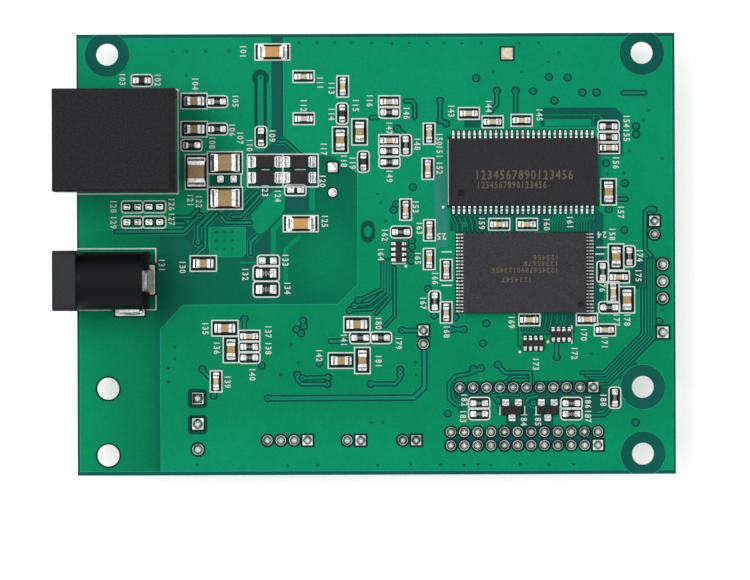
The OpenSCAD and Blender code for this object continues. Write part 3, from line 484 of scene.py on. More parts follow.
def finishPiece(name, bm, finish, cutter=None):
    bmesh.ops.recalc_face_normals(bm, faces=bm.faces)
    bmesh.ops.scale(bm, vec=(mm, mm, mm), verts=bm.verts)
    piece = linked(name, meshFrom(name, bm))
    if cutter:
        cut = piece.modifiers.new("holes", "BOOLEAN")
        cut.operation = "DIFFERENCE"
        cut.solver = "EXACT"
        cut.object = cutter
        bpy.context.view_layer.update()
        graph = bpy.context.evaluated_depsgraph_get()
        piece.data = bpy.data.meshes.new_from_object(piece.evaluated_get(graph))
        piece.modifiers.clear()
    piece.data.materials.clear()
    piece.data.materials.append(finishes[finish])
    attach(piece, "root")
    return piece


boxesKept = {}
# points of a solid nearer than this are one
samePoint = 0.0005


def solidBoxes(node):
    # the box of each separate solid of a node, with heights measured away from the board's face
    if node in boxesKept:
        return boxesKept[node]
    bm = bmesh.new()
    bm.from_mesh(nodes[node].data)
    bmesh.ops.remove_doubles(bm, verts=bm.verts, dist=samePoint * mm)
    boxes = []
    seen = set()
    for start in bm.verts:
        if start in seen:
            continue
        seen.add(start)
        queue = [start]
        points = []
        while queue:
            vert = queue.pop()
            points.append(vert.co / mm)
            for edge in vert.link_edges:
                other = edge.other_vert(vert)
                if other not in seen:
                    seen.add(other)
                    queue.append(other)
        low, high = (Vector([pick(point[axis] for point in points) for axis in range(3)])
                     for pick in (min, max))
        if high.z < top / 2:
            low.z, high.z = -high.z, -low.z
        else:
            low.z, high.z = low.z - top, high.z - top
        boxes.append((low, high))
    bm.free()
    boxesKept[node] = boxes
    return boxes


def sideOf(node):
    return "under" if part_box(node)[1].z < top * mm / 2 else "top"


# bolt holes, with the radius at which copper and mask begin
holes = {"bolt": [(x, y) for y in (30, -30, -20) for x in (40, -40)], "radius": 1.68, "drill": 8}

powerEdge = [(-6.4, 14.8), (-2.6, 12.2), (-2.6, -4.5), (-5.65, -7.5), (-28.7, -7.5), (-32.15, -11.1)]
mainEdge = [(44.5, -32.4), (44.5, 32.4), (-13.6, 32.4), (-13.6, 17.8), (-12.0, 16.4), (-10.6, 15.2),
            *powerEdge]
island = [(-24.8, 4.1), (-19.4, 4.1), (-19.4, 0.2), (-19.9, -0.3), (-24.8, -0.3)]

copper = {
    # outlines of the copper areas on the parts side
    "pours": [
        [(-32.15, -32.4), *mainEdge],
        [(-44.2, 32.4), (-15.5, 32.4), (-15.5, 16.5), (-16.8, 15.4), (-19.2, 15.4), (-19.2, 9.8),
         (-23.0, 6.4), (-26.6, 6.4), (-29.4, 3.6), (-44.2, 3.6)],
        island,
        [(-18.6, 5.9), (-15.2, 9.6), (-13.5, 9.6), (-13.5, 6.8), (-14.0, 6.0), (-16.7, 3.2), (-17.6, 3.2),
         (-18.2, 4.0)],
    ],
    "left": [corners(-44.2, 3.6, -32.15, -32.4)],
    "power": [[(-32.15, 3.6), (-29.0, 3.6), (-26.0, -0.8), (-20.4, -0.8), (-19.4, -1.9), (-15.6, -1.9),
               (-15.6, 3.5), (-13.2, 5.9), (-13.2, 9.2), (-8.4, 9.4), (-8.4, 14.9), *powerEdge]],
    "pale": [corners(8.9, 13.2, 10.9, 1.0)],
    "dark": [
        [(24.8, 21.8), (36.0, 21.8), (37.1, 20.8), (37.1, 14.6), (33.4, 14.6), (33.4, 19.0), (24.8, 19.0)],
        corners(13.4, 20.4, 16.4, 18.9),
        [(11.2, 6.6), (33.2, 6.6), (34.2, 5.8), (34.2, -8.6), (31.8, -8.6), (31.8, 3.4), (11.2, 3.4)],
        [(10.8, 17.6), (10.8, 6.8), (11.4, 6.8), (11.4, 17.6)],
        corners(4.9, 4.2, 5.9, -1.5), corners(-13.2, 9.3, -9.95, 6.3), corners(-24.6, 12.2, -19.9, 10.3),
        [(21.0, -8.9), (30.0, -8.9), (29.8, -11.8), (26.2, -12.2), (22.0, -12.4)],
        corners(38.1, -0.6, 40.4, -5.4),
        [(38.6, -16.0), (39.6, -16.9), (37.0, -19.2), (36.0, -18.6)],
        [(11.5, -19.1), (33.3, -19.0), (34.9, -19.6), (34.9, -23.3), (32.3, -23.8), (26.6, -24.2),
         (26.6, -26.6), (19.6, -26.6), (19.5, -24.25), (18.5, -24.25), (18.0, -22.75), (17.3, -21.8),
         (13.5, -21.8), (13.5, -24.2), (12.8, -24.2), (11.9, -22.7), (11.2, -21.9)],
        corners(11.25, -26.7, 33.25, -28.65),
    ],
    "bright": [corners(25.4, 20.1, 32.4, 19.1), corners(14.4, 5.9, 15.0, 3.5)],
    # broad strips of copper that run over the power area: width, then the points they run through
    "bars": [
        (0.85, [(-9.4, 9.8), (-9.4, 7.0)]), (0.75, [(-13.3, 5.7), (-15.2, 3.7), (-15.2, 0.0)]),
        (0.65, [(-11.4, 2.6), (-13.4, 0.7), (-13.4, -4.0)]), (0.3, [(-20.1, -1.2), (-17.8, -1.2)]),
    ],
    "fine": [[(25.2, 20.75), (33.4, 20.75), (34.3, 19.9)], [(32.75, 20.4), (32.75, 19.1)]],
    "fineWidth": 0.14,
    # pale lines where copper ends: a painted highlight along the copper's edge
    "edgeLines": [
        [(-44.2, -32.4), *mainEdge, (-32.15, -32.4)],
        [(-44.2, -32.4), (-44.2, 32.4), (-15.5, 32.4), (-15.5, 16.5)],
        [(-19.2, 9.8), (-23.0, 6.4), (-26.6, 6.4)], [*island, island[0]],
    ],
    "edgeRim": 0.13,
}


def holeCutter():
    # drills for the copper that surrounds the bolt holes
    bm = bmesh.new()
    radius = holes["radius"]
    for x, y in holes["bolt"]:
        bmesh.ops.create_cone(bm, cap_ends=True, segments=48, radius1=radius, radius2=radius,
                              depth=holes["drill"], matrix=Matrix.Translation((x, y, top / 2)))
    bmesh.ops.scale(bm, vec=(mm, mm, mm), verts=bm.verts)
    return linked("drills", meshFrom("drills", bm))


def lineSheet(name, finish, level, lines, width):
    sheet = Layer(name, finish, level)
    for points in lines:
        sheet.stroke(points, width)
    sheet.finish()


def copperAreas(cutter):
    for key, name, level, finish in (
        ("left", "leftCopper", "inner", "leftMask"), ("power", "powerCopper", "inner", "powerMask"),
        ("pours", "copperPours", "pour", "pourMask"), ("pale", "paleCopper", "area", "paleMask"),
        ("dark", "bareAreas", "area", "bareMask"), ("bright", "copperPatches", "patch", "pourMask"),
    ):
        sheet = Layer(name, finish, level)
        for outline in copper[key]:
            sheet.plate(outline)
        if key == "bright":
            for width, points in copper["bars"]:
                sheet.stroke(points, width)
        sheet.finish(cutter if key in ("left", "pours") else None)
    lineSheet("copperEdges", "rimMask", "edge", copper["edgeLines"], copper["edgeRim"])
    lineSheet("fineTracks", "trackMask", "track", copper["fine"], copper["fineWidth"])


lands = {
    # dark gap round the land of a header pin, and round any other land: a clearance bare of copper, darkened
    # with painted shade
    "clearance": 0.30, "margin": 0.25,
    # the header pins at these places have square lands, and the others round ones
    "near": 0.4,
    "squares": [(32.6, -20), (33.25, -28.65), (-10.2, -27.8), (-2.25, -27.85), (6.05, -27.85), (7.2, -11.45),
                (41.8, 4.85), (43.0, -11.83), (-26.6, -25.3), (-26.6, -21.49)],
    # bolt holes with a bare washer round them, edged by a pale painted highlight, and those with only a thin
    # dark ring of painted shade
    "keepOuts": [(-40, 30), (40, 30), (40, -20), (40, -30)], "keepOutRadius": 3.32, "keepOutRim": 0.12,
    "rimOverlap": 0.02,
    "thinRims": [(-40, -20), (-40, -30)], "thinRimRadius": 1.88,
    "posts": [(-26.65, -21.5), (-26.65, -25.4)], "postKeepOut": 2.9, "postLand": 1.5,
}

routing = {
    # radii of a via's pale ring, which is a painted highlight, and of its clearance, copper and dimple, and
    # of a stitch
    "viaRim": 0.78, "viaGap": 0.68, "viaCopper": 0.36, "viaDimple": 0.15, "stitch": 0.20,
    # how much wider than a track its pale edging, a painted highlight, and its clearance are, and the width
    # of a slit
    "trackRim": 0.74, "trackGap": 0.58, "slit": 0.22,
}

vias = [
    (5.7, 10.0), (10.7, 19.5), (9.8, 20.0), (9.8, 22.9), (3.4, 18.8), (39.1, 19.0), (39.1, 17.8),
    (34.6, 13.5), (37.4, 10.5), (35.0, 6.6), (37.3, 3.5), (41.7, 6.5), (3.2, 7.5), (2.8, 6.6), (5.5, 2.0),
    (5.5, 1.1), (5.4, -0.1), (5.4, -1.0), (13.3, 4.4), (16.6, -10.4), (16.1, -13.4), (7.9, -5.2),
    (8.8, -9.2), (12.0, -9.5), (-17.0, -16.6), (-16.1, -21.5), (-24.2, -21.1), (14.6, -17.2), (15.8, -17.1),
    (3.7, -17.3), (3.7, -18.0), (10.8, -23.9), (38.9, -25.3), (-8.4, -16.3), (-10.8, -9.9), (-10.7, -10.7),
    (-11.8, -11.2), (-11.1, -11.8), (42.5, -10.2), (-25.9, -17.1), (15.2, 26.3), (26.1, 26.4), (28.9, 26.3),
    (23.7, 24.3), (26.9, 22.9), (31.1, 24.1), (33.2, 24.1), (18.3, 24.4), (21.1, 24.4), (-26.5, 1.9),
    (-26.2, 5.8), (-2.5, -6.9), (-3.1, -7.7), (-3.8, -8.4), (18.3, -16.6), (-10.9, -18.5), (-7.1, -18.4),
    (-11.7, -18.0), (-7.2, -19.4), (-0.7, -19.4), (11.5, -11.3), (13.2, -11.3), (4.0, -11.4), (27.1, -15.5),
    (-19.6, -9.6), (23.65, -22.35), (18.3, -22.0),
]

stitches = [
    (-30.2, 30.4), (-28.1, 30.4), (-25.2, 30.4), (-21.8, 30.4), (-28.2, 26.8), (-11.2, 31.7), (-8.6, 31.7),
    (-6.0, 31.7), (-3.4, 31.7), (-0.4, 31.6), (2.6, 31.5), (5.2, 31.6), (7.9, 31.5), (10.4, 31.5),
    (13.1, 31.5), (16, 31.5), (21.6, 31.5), (24.5, 31.6), (27.6, 30.1), (26, 28.7), (17.8, 27.3),
    (22, 27.2), (-30, -13.8), (-30, -15.6), (-31, -16.9), (-31, -19), (-0.6, -25.2), (1.1, -25.2),
    (-11.5, -16.2), (-12.6, -13.5), (-14.2, -18), (6.1, -16.2), (6.1, -18.1), (41, 21.4), (40.2, 19.9),
    (38.1, 15.3), (37.3, 12), (34.8, 11.9), (43, 14.2), (43, -8.5), (32.3, -15), (0.4, 9.0), (0.9, 7.7),
    (1.6, 5.0), (-26.7, -31.4), (-13.2, -31.6), (-8.7, -31.5), (0.3, -31.6), (5.2, -31.4), (9.7, -31.5),
    (13.2, -31.6), (15.3, -31.5), (17.2, -31.6), (21.6, -31.5), (25.9, -31.6), (29.6, -31.5),
]
stitches += [(x, y) for x in (-23.7, -22.55, -21.4) for y in (3.4, 2.15, 0.9)]

# width of the copper, then the points it runs through
tracks = [
    (0.5, [(7.3, -14.6), (7.3, -20), (5.7, -21.5), (-16.1, -21.5)]),
    (0.3, [(-0.7, -19.4), (3.0, -19.4), (3.7, -18.6), (3.7, -17.3)]),
    (0.3, [(-10.9, -18.5), (-7.1, -18.4)]),
    (0.3, [(-11.7, -18.0), (-11.7, -18.7), (-11.0, -19.4), (-7.2, -19.4)]),
    (0.4, [(-6.7, -13.0), (-4.2, -13.0)]),
    (0.3, [(9.8, 22.9), (9.8, 20.0), (10.7, 19.5)]),
    (0.3, [(18.3, 24.4), (18.3, 22.4), (17.3, 21.2)]),
    (0.3, [(21.1, 24.4), (21.1, 20.8)]),
    (0.35, [(37.2, 24.0), (40.4, 24.0)]),
    (0.35, [(36.2, 8.1), (37.6, 8.1)]),
    (0.35, [(-19.6, -9.6), (-19.6, -11.4)]),
    (0.35, [(11.5, -11.3), (13.2, -11.3)]),
    (0.35, [(4.0, -11.4), (7.0, -11.5)]),
    (0.35, [(27.1, -13.5), (27.1, -15.5)]),
    (0.22, [(1.1, -0.9), (1.1, -5.2), (-2.5, -6.9)]),
    (0.22, [(1.5, -0.9), (1.5, -5.6), (-0.9, -7.4), (-3.1, -7.7)]),
    (0.22, [(1.9, -0.9), (1.9, -6.0), (-0.5, -8.2), (-3.8, -8.4)]),
    (0.22, [(2.3, -0.9), (2.3, -6.4), (0.1, -8.9)]),
    (0.22, [(2.9, -2.0), (2.9, -9.2), (1.4, -10.8)]),
    (0.22, [(32.2, -24.2), (34.2, -24.2), (35.0, -23.3)]),
    (0.3, [(18.3, -16.6), (19.4, -17.8), (23.2, -17.8), (23.2, -19.4)]),
    (0.22, [(19.4, -19.2), (20.5, -18.4), (22.6, -18.4)]),
    (0.3, [(15.8, -17.1), (14.2, -17.9), (12.0, -18.3), (11.0, -19.4), (11.0, -21.6), (12.0, -22.6),
           (13.4, -22.6)]),
    (0.3, [(4.6, 22.9), (5.6, 22.9), (6.0, 22.3), (6.0, 20.4)]),
    (0.3, [(3.4, 18.8), (4.6, 17.8)]),
    (0.35, [(-0.5, 20.4), (1.4, 20.6)]),
    (0.3, [(-30.0, 5.6), (-27.6, 5.6), (-26.5, 6.7)]),
    (0.3, [(-30.0, 4.7), (-28.5, 4.7)]),
    (0.3, [(-26.5, 1.9), (-26.5, 4.3), (-24.3, 6.4)]),
    (0.3, [(-26.6, 0.1), (-25.4, 1.1), (-25.4, 4.4), (-23.6, 6.2)]),
    (0.3, [(-23.1, 5.8), (-22.3, 4.8), (-18.6, 4.8)]),
    (0.3, [(-21.4, 5.7), (-20.0, 5.7), (-17.0, 9.0)]),
    (0.3, [(-20.3, 6.7), (-17.6, 9.4)]),
    (0.3, [(-38.8, 3.5), (-28.6, 3.5), (-26.6, 5.5)]),
    (0.35, [(-17.6, 2.8), (-18.6, 1.9), (-18.6, 0.1)]),
    (0.3, [(-14.5, 16.9), (-13.3, 16.9), (-11.3, 15.0)]),
    (0.3, [(41.8, 6.7), (40.9, 6.7), (40.4, 6.1), (40.4, 0.6), (41.3, -0.4)]),
    (0.35, [(-26.0, -17.2), (-24.8, -18.4)]),
    (0.3, [(-24.2, -21.1), (-23.9, -20.4)]),
    (0.3, [(22.5, -22.3), (22.8, -21.6), (24.2, -21.3)]),
    (0.2, [(18.3, -22.0), (17.4, -21.2), (19.5, -21.0), (21.4, -21.2)]),
]
# parallel runs: down the right side to the headers, then between the two large chips
for i in range(5):
    tracks.append((0.2, [(40.0 + 0.43 * i, -5.3 if i < 2 else -0.9), (40.0 + 0.43 * i, -12.0 - 0.17 * i),
                         (34.15 + 0.18 * i, -17.85 - 0.42 * i), (30.8 + 0.7 * i, -17.85 - 0.42 * i)]))
for i in range(15):
    x = 0.4 * i
    tracks.append((0.16, [(26.7 + x, 6.2), (26.7 + x, 5.4), (26.1 + x, 4.7), (26.1 + x, 3.3)]))
for i in range(8):
    x = 0.8 * i
    tracks.append((0.16, [(22.4 + x, -8.9), (22.4 + x, -9.8), (22.0 + x, -11.4)]))
for i in range(16):
    x = 12.3 + 0.75 * i
    tracks.append((0.16, [(11.7 + 0.8 * i, 5.6), (x, 4.4), (x, 3.4)]))

bareSpots = {
    # unpopulated lands: x, y, length, width
    "lands": [(x, y, 1.0, 0.8) for x in (-37.1, -35.5, -33.8, -32.2) for y in (7.2, 4.9)]
    + [(-12.6, 9.7, 1.0, 0.9), (-11.1, 9.7, 1.0, 0.9), (-16.9, -0.9, 1.0, 0.9), (-15.2, -0.9, 1.0, 0.9),
       (-23.1, 11.3, 0.9, 1.0), (-21.1, 11.3, 0.9, 1.0), (-6.3, 13.0, 1.4, 1.4)],
    "square": (19.85, 29.95, 1.7, 1.7),
    "rounds": [(-6.3, 9.25, 0.65)],
    # a test land's middle, half its length and its width, with and without the clearance
    "oval": ((-1.06, 3.4), ((0.6, 2.1), (0.25, 1.1))),
    "slits": [[(21.3, -9.0), (21.3, -13.7), (21.8, -14.3)]],
    # a strip with a wide clearance: middle line, width, clearance, then the end's width, ring and dimple
    "strip": ([(-17.05, 26.4), (-17.05, 17.4)], 0.85, 0.5, (2.5, 0.5, 0.18)),
}

jackLands = {
    # lands and solder mounds of the power jack: x, y, length, width
    "rear": (-33.8, -3.7, 1.7, 4.4), "side": (-36.7, -8.5, 4.4, 1.2),
    "rearMound": ((-33.95, -3.6), (0.85, 1.75, 1.6)), "sideMound": ((-36.2, -8.45), (1.55, 0.55, 0.55)),
}

# how the corners of a clearance and of its land are rounded
landCorners = {"header": (0.15, 0.06), "empty": (0.25, 0.14), "square": (0.1, 0.05), "powerJack": (0.3, 0.2),
               "networkJack": (0.4, 0.4), "post": (0.5, 0.06)}
# solder on empty lands: its width, as a share of a long land or of a round one's radius, its height, and
# how high above the board its middle lies
lump = {"share": 0.42, "height": 0.16, "roundShare": 0.8, "roundHeight": 0.22, "base": 0.05}


def bareLand(deep, metal, at, size, kind, margin=lands["margin"]):
    # a land of bare metal, with the dark clearance round it, painted darker than bare laminate as shade
    outer, inner = landCorners[kind]
    deep.block(at, (size[0] + 2 * margin, size[1] + 2 * margin), 0, outer)
    metal.block(at, size, 0, inner)


def roundLands(metal, deep):
    for low, high in solidBoxes("header_solder"):
        middle = (low + high) / 2
        radius = max(high.x - low.x, high.y - low.y) / 2
        if min(hypot(middle.x - x, middle.y - y) for x, y in lands["squares"]) < lands["near"]:
            bareLand(deep, metal, middle, (2 * radius, 2 * radius), "header", lands["clearance"])
        else:
            deep.disc(middle, radius + lands["clearance"], 24)
            metal.disc(middle, radius, 24)


def keepOuts(rims, rings, places, sides):
    # bare washers round the bolt holes, each with a pale edge of painted highlight
    outer = lands["keepOutRadius"]
    for at in places:
        rims.ring(at, outer - lands["rimOverlap"], outer + lands["keepOutRim"], sides)
        rings.ring(at, holes["radius"], outer, sides)
    for sheet in (rims, rings):
        sheet.trim()


def mound(sheet, at, size):
    place = Matrix.Translation((*at, lump["base"])) @ Matrix.Diagonal((*size, 1))
    bmesh.ops.create_uvsphere(sheet.bm, u_segments=20, v_segments=12, radius=1, matrix=place)


def boardFeatures():
    # the pale edges here are painted highlights along copper edges
    holeHighlightRims = Layer("keepOutRims", "rimMask", "rim")
    holeRings = Layer("keepOuts", "bareMask", "gap")
    keepOuts(holeHighlightRims, holeRings, lands["keepOuts"], 56)
    rims = Layer("clearanceRims", "rimMask", "rim")
    gaps = Layer("clearances", "gapMask", "gap")
    # dark clearances round lands, painted in shade darker than bare laminate
    deep = Layer("landClearances", "shadowMask", "deep")
    runs = Layer("copperTracks", "trackMask", "track")
    rounds = Layer("viaRings", "trackMask", "via")
    metal = Layer("solderLands", "pinSolder", "land", slotName="solder")
    gold = Layer("goldLands", "goldPlate", "land", slotName="contact_gold")
    dimples = Layer("viaDimples", "gapMask", "land")
    lumps = Layer("landSolder", "solder", "land", slotName="solder")
    # thin dark rings of painted shade round the other bolt holes
    for at in lands["thinRims"]:
        deep.ring(at, holes["radius"], lands["thinRimRadius"], 40)
    for at in vias:
        rims.disc(at, routing["viaRim"], 16)
        gaps.disc(at, routing["viaGap"], 16)
        rounds.disc(at, routing["viaCopper"], 14)
        dimples.disc(at, routing["viaDimple"], 8)
    for at in stitches:
        gaps.disc(at, routing["stitch"], 8)
    for width, points in tracks:
        rims.stroke(points, width + routing["trackRim"])
        gaps.stroke(points, width + routing["trackGap"])
        runs.stroke(points, width)
    for points in bareSpots["slits"]:
        gaps.stroke(points, routing["slit"])
    points, width, apart, (end, ring, dimple) = bareSpots["strip"]
    gaps.stroke(points, width + 2 * apart)
    gaps.disc(points[0], end / 2, 32)
    runs.stroke(points, width)
    rounds.disc(points[0], ring)
    dimples.disc(points[0], dimple)
    roundLands(metal, deep)
    for at in lands["posts"]:
        gaps.block(at, (lands["postKeepOut"], lands["postKeepOut"]), 0, landCorners["post"][0])
    gold.block(lands["posts"][0], (lands["postLand"], lands["postLand"]), 0, landCorners["post"][1])
    for x, y, length, width in bareSpots["lands"]:
        bareLand(deep, metal, (x, y), (length, width), "empty")
        mound(lumps, (x, y), (length * lump["share"], width * lump["share"], lump["height"]))
    x, y, *size = bareSpots["square"]
    bareLand(deep, gold, (x, y), size, "square")
    for x, y, radius in bareSpots["rounds"]:
        deep.disc((x, y), radius + lands["margin"])
        metal.disc((x, y), radius)
        mound(lumps, (x, y), (radius * lump["roundShare"], radius * lump["roundShare"], lump["roundHeight"]))
    (x, y), shapes = bareSpots["oval"]
    for sheet, (half, width) in zip((gaps, runs), shapes):
        sheet.stroke([(x, y - half), (x, y + half)], width)
    for key, plate in (("rear", gold), ("side", metal)):
        x, y, *size = jackLands[key]
        bareLand(deep, plate, (x, y), size, "powerJack")
    mound(lumps, *jackLands["sideMound"])
    rear = Layer("jackSolder", "dullTerminal", "land", slotName="solder")
    mound(rear, *jackLands["rearMound"])
    for sheet in (holeHighlightRims, holeRings, rims, gaps, deep, runs, rounds, metal, gold, dimples):
        sheet.finish()
    for sheet in (lumps, rear):
        sheet.finish(smooth=True)


joint = {
    # solder at the end of a part: reach past it, land under it and at its sides, climb up its end
    "out": 0.55, "under": 0.12, "side": 0.06, "climb": 0.62, "steps": 4, "round": 0.14,
    # parts longer than this have a longer joint
    "longPart": 2.5, "longer": 1.1,
    # how far past the part's end its fillet starts, and its length as a share of the land's
    "apart": 0.04, "share": 0.9,
    # the same for a lead, whose fillet starts under it, and how its land is rounded
    "leadOverlap": 0.02, "leadShare": 0.92, "leadRound": 0.05,
    # how much longer and wider than a lead and its land the painted shadow round it is
    "gapEnds": 0.3, "gapSides": 0.34,
    # how much smaller than a part's printed frame its dark gap is, a clearance darkened with painted shade,
    # and its corners in either kind of frame
    "inset": 0.1, "softCorner": 0.4, "sharpCorner": 0.05,
}
# how much wider a land is than its part, on each side
broadLands = {"long_capacitor_bodies": 0.36, "wide_capacitor_bodies": 0.12}
leadLands = {
    # land past the toe, land under the lead, extra width, height of the solder
    "array_ends": (0.30, 0.15, -0.05, 0.30), "diode_leads": (0.50, 0.50, 0.25, 0.40),
    "transistor_leads": (0.42, 0.50, 0.60, 0.28), "memory_leads": (0.36, 0.35, -0.06, 0.16),
    "flash_leads": (0.30, 0.30, 0.03, 0.14), "processor_leads": (0.30, 0.30, 0.03, 0.12),
    "network_controller_leads": (0.30, 0.30, 0.03, 0.12), "line_transformer_leads": (0.40, 0.40, 0.12, 0.20),
}
moulded = ("diode_bodies", "transistor_bodies", "array_bodies")


def filletMesh():
    # a unit solder fillet: a hollow quarter round, one unit long, high and wide
    bm = bmesh.new()
    corner = bm.verts.new((0, -0.5, 0))
    toe = bm.verts.new((1, -0.5, 0))
    arc = bmesh.ops.spin(bm, geom=[toe], cent=(1, -0.5, 1), axis=(0, 1, 0), dvec=(0, 0, 0),
                         angle=pi / 2, steps=joint["steps"], use_merge=False)["geom_last"]
    bm.edges.new((arc[0], corner))
    bm.edges.new((corner, toe))
    extruded(bm, bmesh.ops.contextual_create(bm, geom=bm.edges[:])["faces"], (0, 1, 0))
    bmesh.ops.recalc_face_normals(bm, faces=bm.faces)
    return meshFrom("filletUnit", bm)


def stampFillet(fillets, unit, at, angle, out, width, height):
    place = Matrix.Translation((at[0], at[1], layer["land"])) @ Matrix.Rotation(angle, 4, "Z")
    fillets.stamp(unit, place @ Matrix.Diagonal((out, width, height, 1)))


def chipParts(side):
    # every two-ended part of one side: its middle, its turn, its length, width and height
    for node in nodes:
        if node.endswith("_bodies") and node not in moulded and sideOf(node) == side:
            for low, high in solidBoxes(node):
                size = high - low
                yield (node, (low + high) / 2, 0 if size.x > size.y else pi / 2, max(size.x, size.y),
                       min(size.x, size.y), size.z)


def headed(angle):
    return Matrix.Rotation(angle, 3, "Z") @ Vector((1, 0, 0))


def endJoint(metal, fillets, unit, middle, angle, length, width, height, side):
    out = joint["out"] if length < joint["longPart"] else joint["out"] * joint["longer"]
    land = middle + headed(angle) * (length / 2 + out / 2 - joint["under"])
    metal.block(land, (out + 2 * joint["under"], width + 2 * side), angle, joint["round"])
    toe = middle + headed(angle) * (length / 2 + joint["apart"])
    stampFillet(fillets, unit, toe, angle, out * joint["share"], width, height * joint["climb"])


def leadJoint(metal, fillets, deep, unit, node, low, high):
    # a small land and a toe fillet under one lead, pointing away from its body, and the painted shadow beside
    # it
    past, under, extra, rise = leadLands[node]
    middle = (low + high) / 2
    body = node.replace("_leads", "_body").replace("_ends", "_body")
    body = body if body in nodes else body.replace("_body", "_bodies")
    owner = min(solidBoxes(body), key=lambda pair: ((pair[0] + pair[1]) / 2 - middle).length)
    offset = middle - (owner[0] + owner[1]) / 2
    reach = (owner[1] - owner[0]) / 2
    axis = 0 if abs(offset.x) / reach.x > abs(offset.y) / reach.y else 1
    outwards = offset[axis] > 0
    angle = axis * pi / 2 + (0 if outwards else pi)
    lead, width = high[axis] - low[axis], high[1 - axis] - low[1 - axis] + extra
    toe = middle.copy()
    toe[axis] = (high if outwards else low)[axis]
    metal.block(toe + headed(angle) * (past - under) / 2, (past + under, width), angle,
                joint["leadRound"])
    deep.block(toe + headed(angle) * (past - lead) / 2,
               (past + lead + joint["gapEnds"], width + joint["gapSides"]), angle)
    stampFillet(fillets, unit, toe - headed(angle) * joint["leadOverlap"], angle, past * joint["leadShare"],
                width * joint["leadShare"], rise)


def partSolder(side):
    unit = filletMesh()
    metal, fillets, fineMetal, fineFillets = (
        Layer(side + name, finish, "land", side, "solder") for name, finish in (
            ("PartLands", "solder"), ("Solder", "solder"), ("FineLands", "dullSolder"),
            ("FineSolder", "dullSolder")))
    # dark sheets round the parts' lands and under the lead rows: clearances darkened with painted shade, and
    # painted shadow between leads
    deep = Layer(side + "PartClearances", "shadowMask", "deep", side)
    for node, middle, angle, length, width, height in chipParts(side):
        for turn in (0, pi):
            endJoint(metal, fillets, unit, middle, angle + turn, length, width, height,
                     broadLands.get(node, joint["side"]))
        out, past = silkMargin(length)
        deep.block(middle, (length + 2 * out - joint["inset"], width + 2 * past - joint["inset"]), angle,
                   joint["softCorner" if softFrame(node) else "sharpCorner"])
    for node in leadLands:
        if sideOf(node) == side:
            sheets = (fineMetal, fineFillets) if node == "flash_leads" else (metal, fillets)
            for low, high in solidBoxes(node):
                leadJoint(*sheets, deep, unit, node, low, high)
    for sheet in (metal, fillets, fineMetal, fineFillets, deep):
        if sheet.bm.verts:
            sheet.finish()


silk = {
    # for a part's length, how far its frame stands out past its ends and its sides
    "margin": {1.6: (0.82, 0.52), 2.0: (1.00, 0.58), 3.2: (1.05, 0.45)},
    "line": 0.19, "round": 0.45, "roundSteps": 3, "emptyRound": 0.4, "dot": 0.22,
    # height and column width of the numbers on the board and at the leads
    "number": (0.90, 0.68), "leadNumber": (0.95, 0.78), "firstNumber": 101,
}


def silkMargin(length):
    return silk["margin"][min(silk["margin"], key=lambda key: abs(key - length))]


def softFrame(node):
    return "capacitor" not in node


def outlineBox(lines, x0, y0, x1, y1, round=0.0):
    points = corners(x0, y0, x1, y1)
    if round:
        points = []
        for x, y, start in ((x1 - round, y1 - round, 0), (x0 + round, y1 - round, 1),
                            (x0 + round, y0 + round, 2), (x1 - round, y0 + round, 3)):
            for step in range(silk["roundSteps"] + 1):
                quarter = start + step / silk["roundSteps"]
                out = Matrix.Rotation(quarter * pi / 2, 2) @ Vector((round, 0))
                points.append((x + out.x, y + out.y))
    lines.stroke(points, silk["line"], True)


silkLines = [
    # power jack
    [(-44.5, 0.95), (-32.8, 0.95), (-32.8, -1.1)], [(-32.8, -6.1), (-32.8, -8.2), (-34.2, -8.2)],
    [(-39.5, -8.2), (-44.5, -8.2)],
    # network jack
    [(-44.4, 24.72), (-29.42, 24.72), (-29.42, 9.15), (-44.4, 9.15)],
    # diodes
    [(-19.05, 10.1), (-19.05, 15.0), (-8.45, 15.0), (-8.45, 10.1), (-19.05, 10.1)],
    [(-13.75, 10.1), (-13.75, 15.0)],
    [(-16.9, 12.7), (-15.8, 12.7)], [(-11.9, 12.7), (-10.4, 12.7)],
    # memory and flash
    [(11.0, 7.4), (11.0, 17.0)],
    *([(10.0, y), (11.4, y)] for y in (0.3, -4.7)),
    [(33.2, 0.9), (34.8, 0.9)], [(33.0, -0.1), (34.2, -0.1)],
    # unpopulated places
    *([(x, 10.1), (x, 12.0)] for x in (-25.0, -20.0)),
    # arrays
    [(2.6, -1.4), (4.5, -1.4)], [(29.4, -13.4), (29.4, -10.8)],
    # transistors
    *([(x, -22.9), (x, -24.1)] for x in (18.6, 22.3, 24.0, 27.6)),
]
silkRound = [(-37.9, 6.3, -34.7, 8.1), (-34.7, 6.3, -31.3, 8.1), (-37.9, 4.0, -34.7, 5.8),
             (-34.7, 4.0, -31.3, 5.8), (-13.5, 8.8, -10.3, 10.4), (-17.6, -1.8, -14.3, -0.1)]
silkDots = [(4.6, -1.8), (21.6, -14.7), (25.8, -13.2), (10.2, 7.0), (34.2, -7.8)]
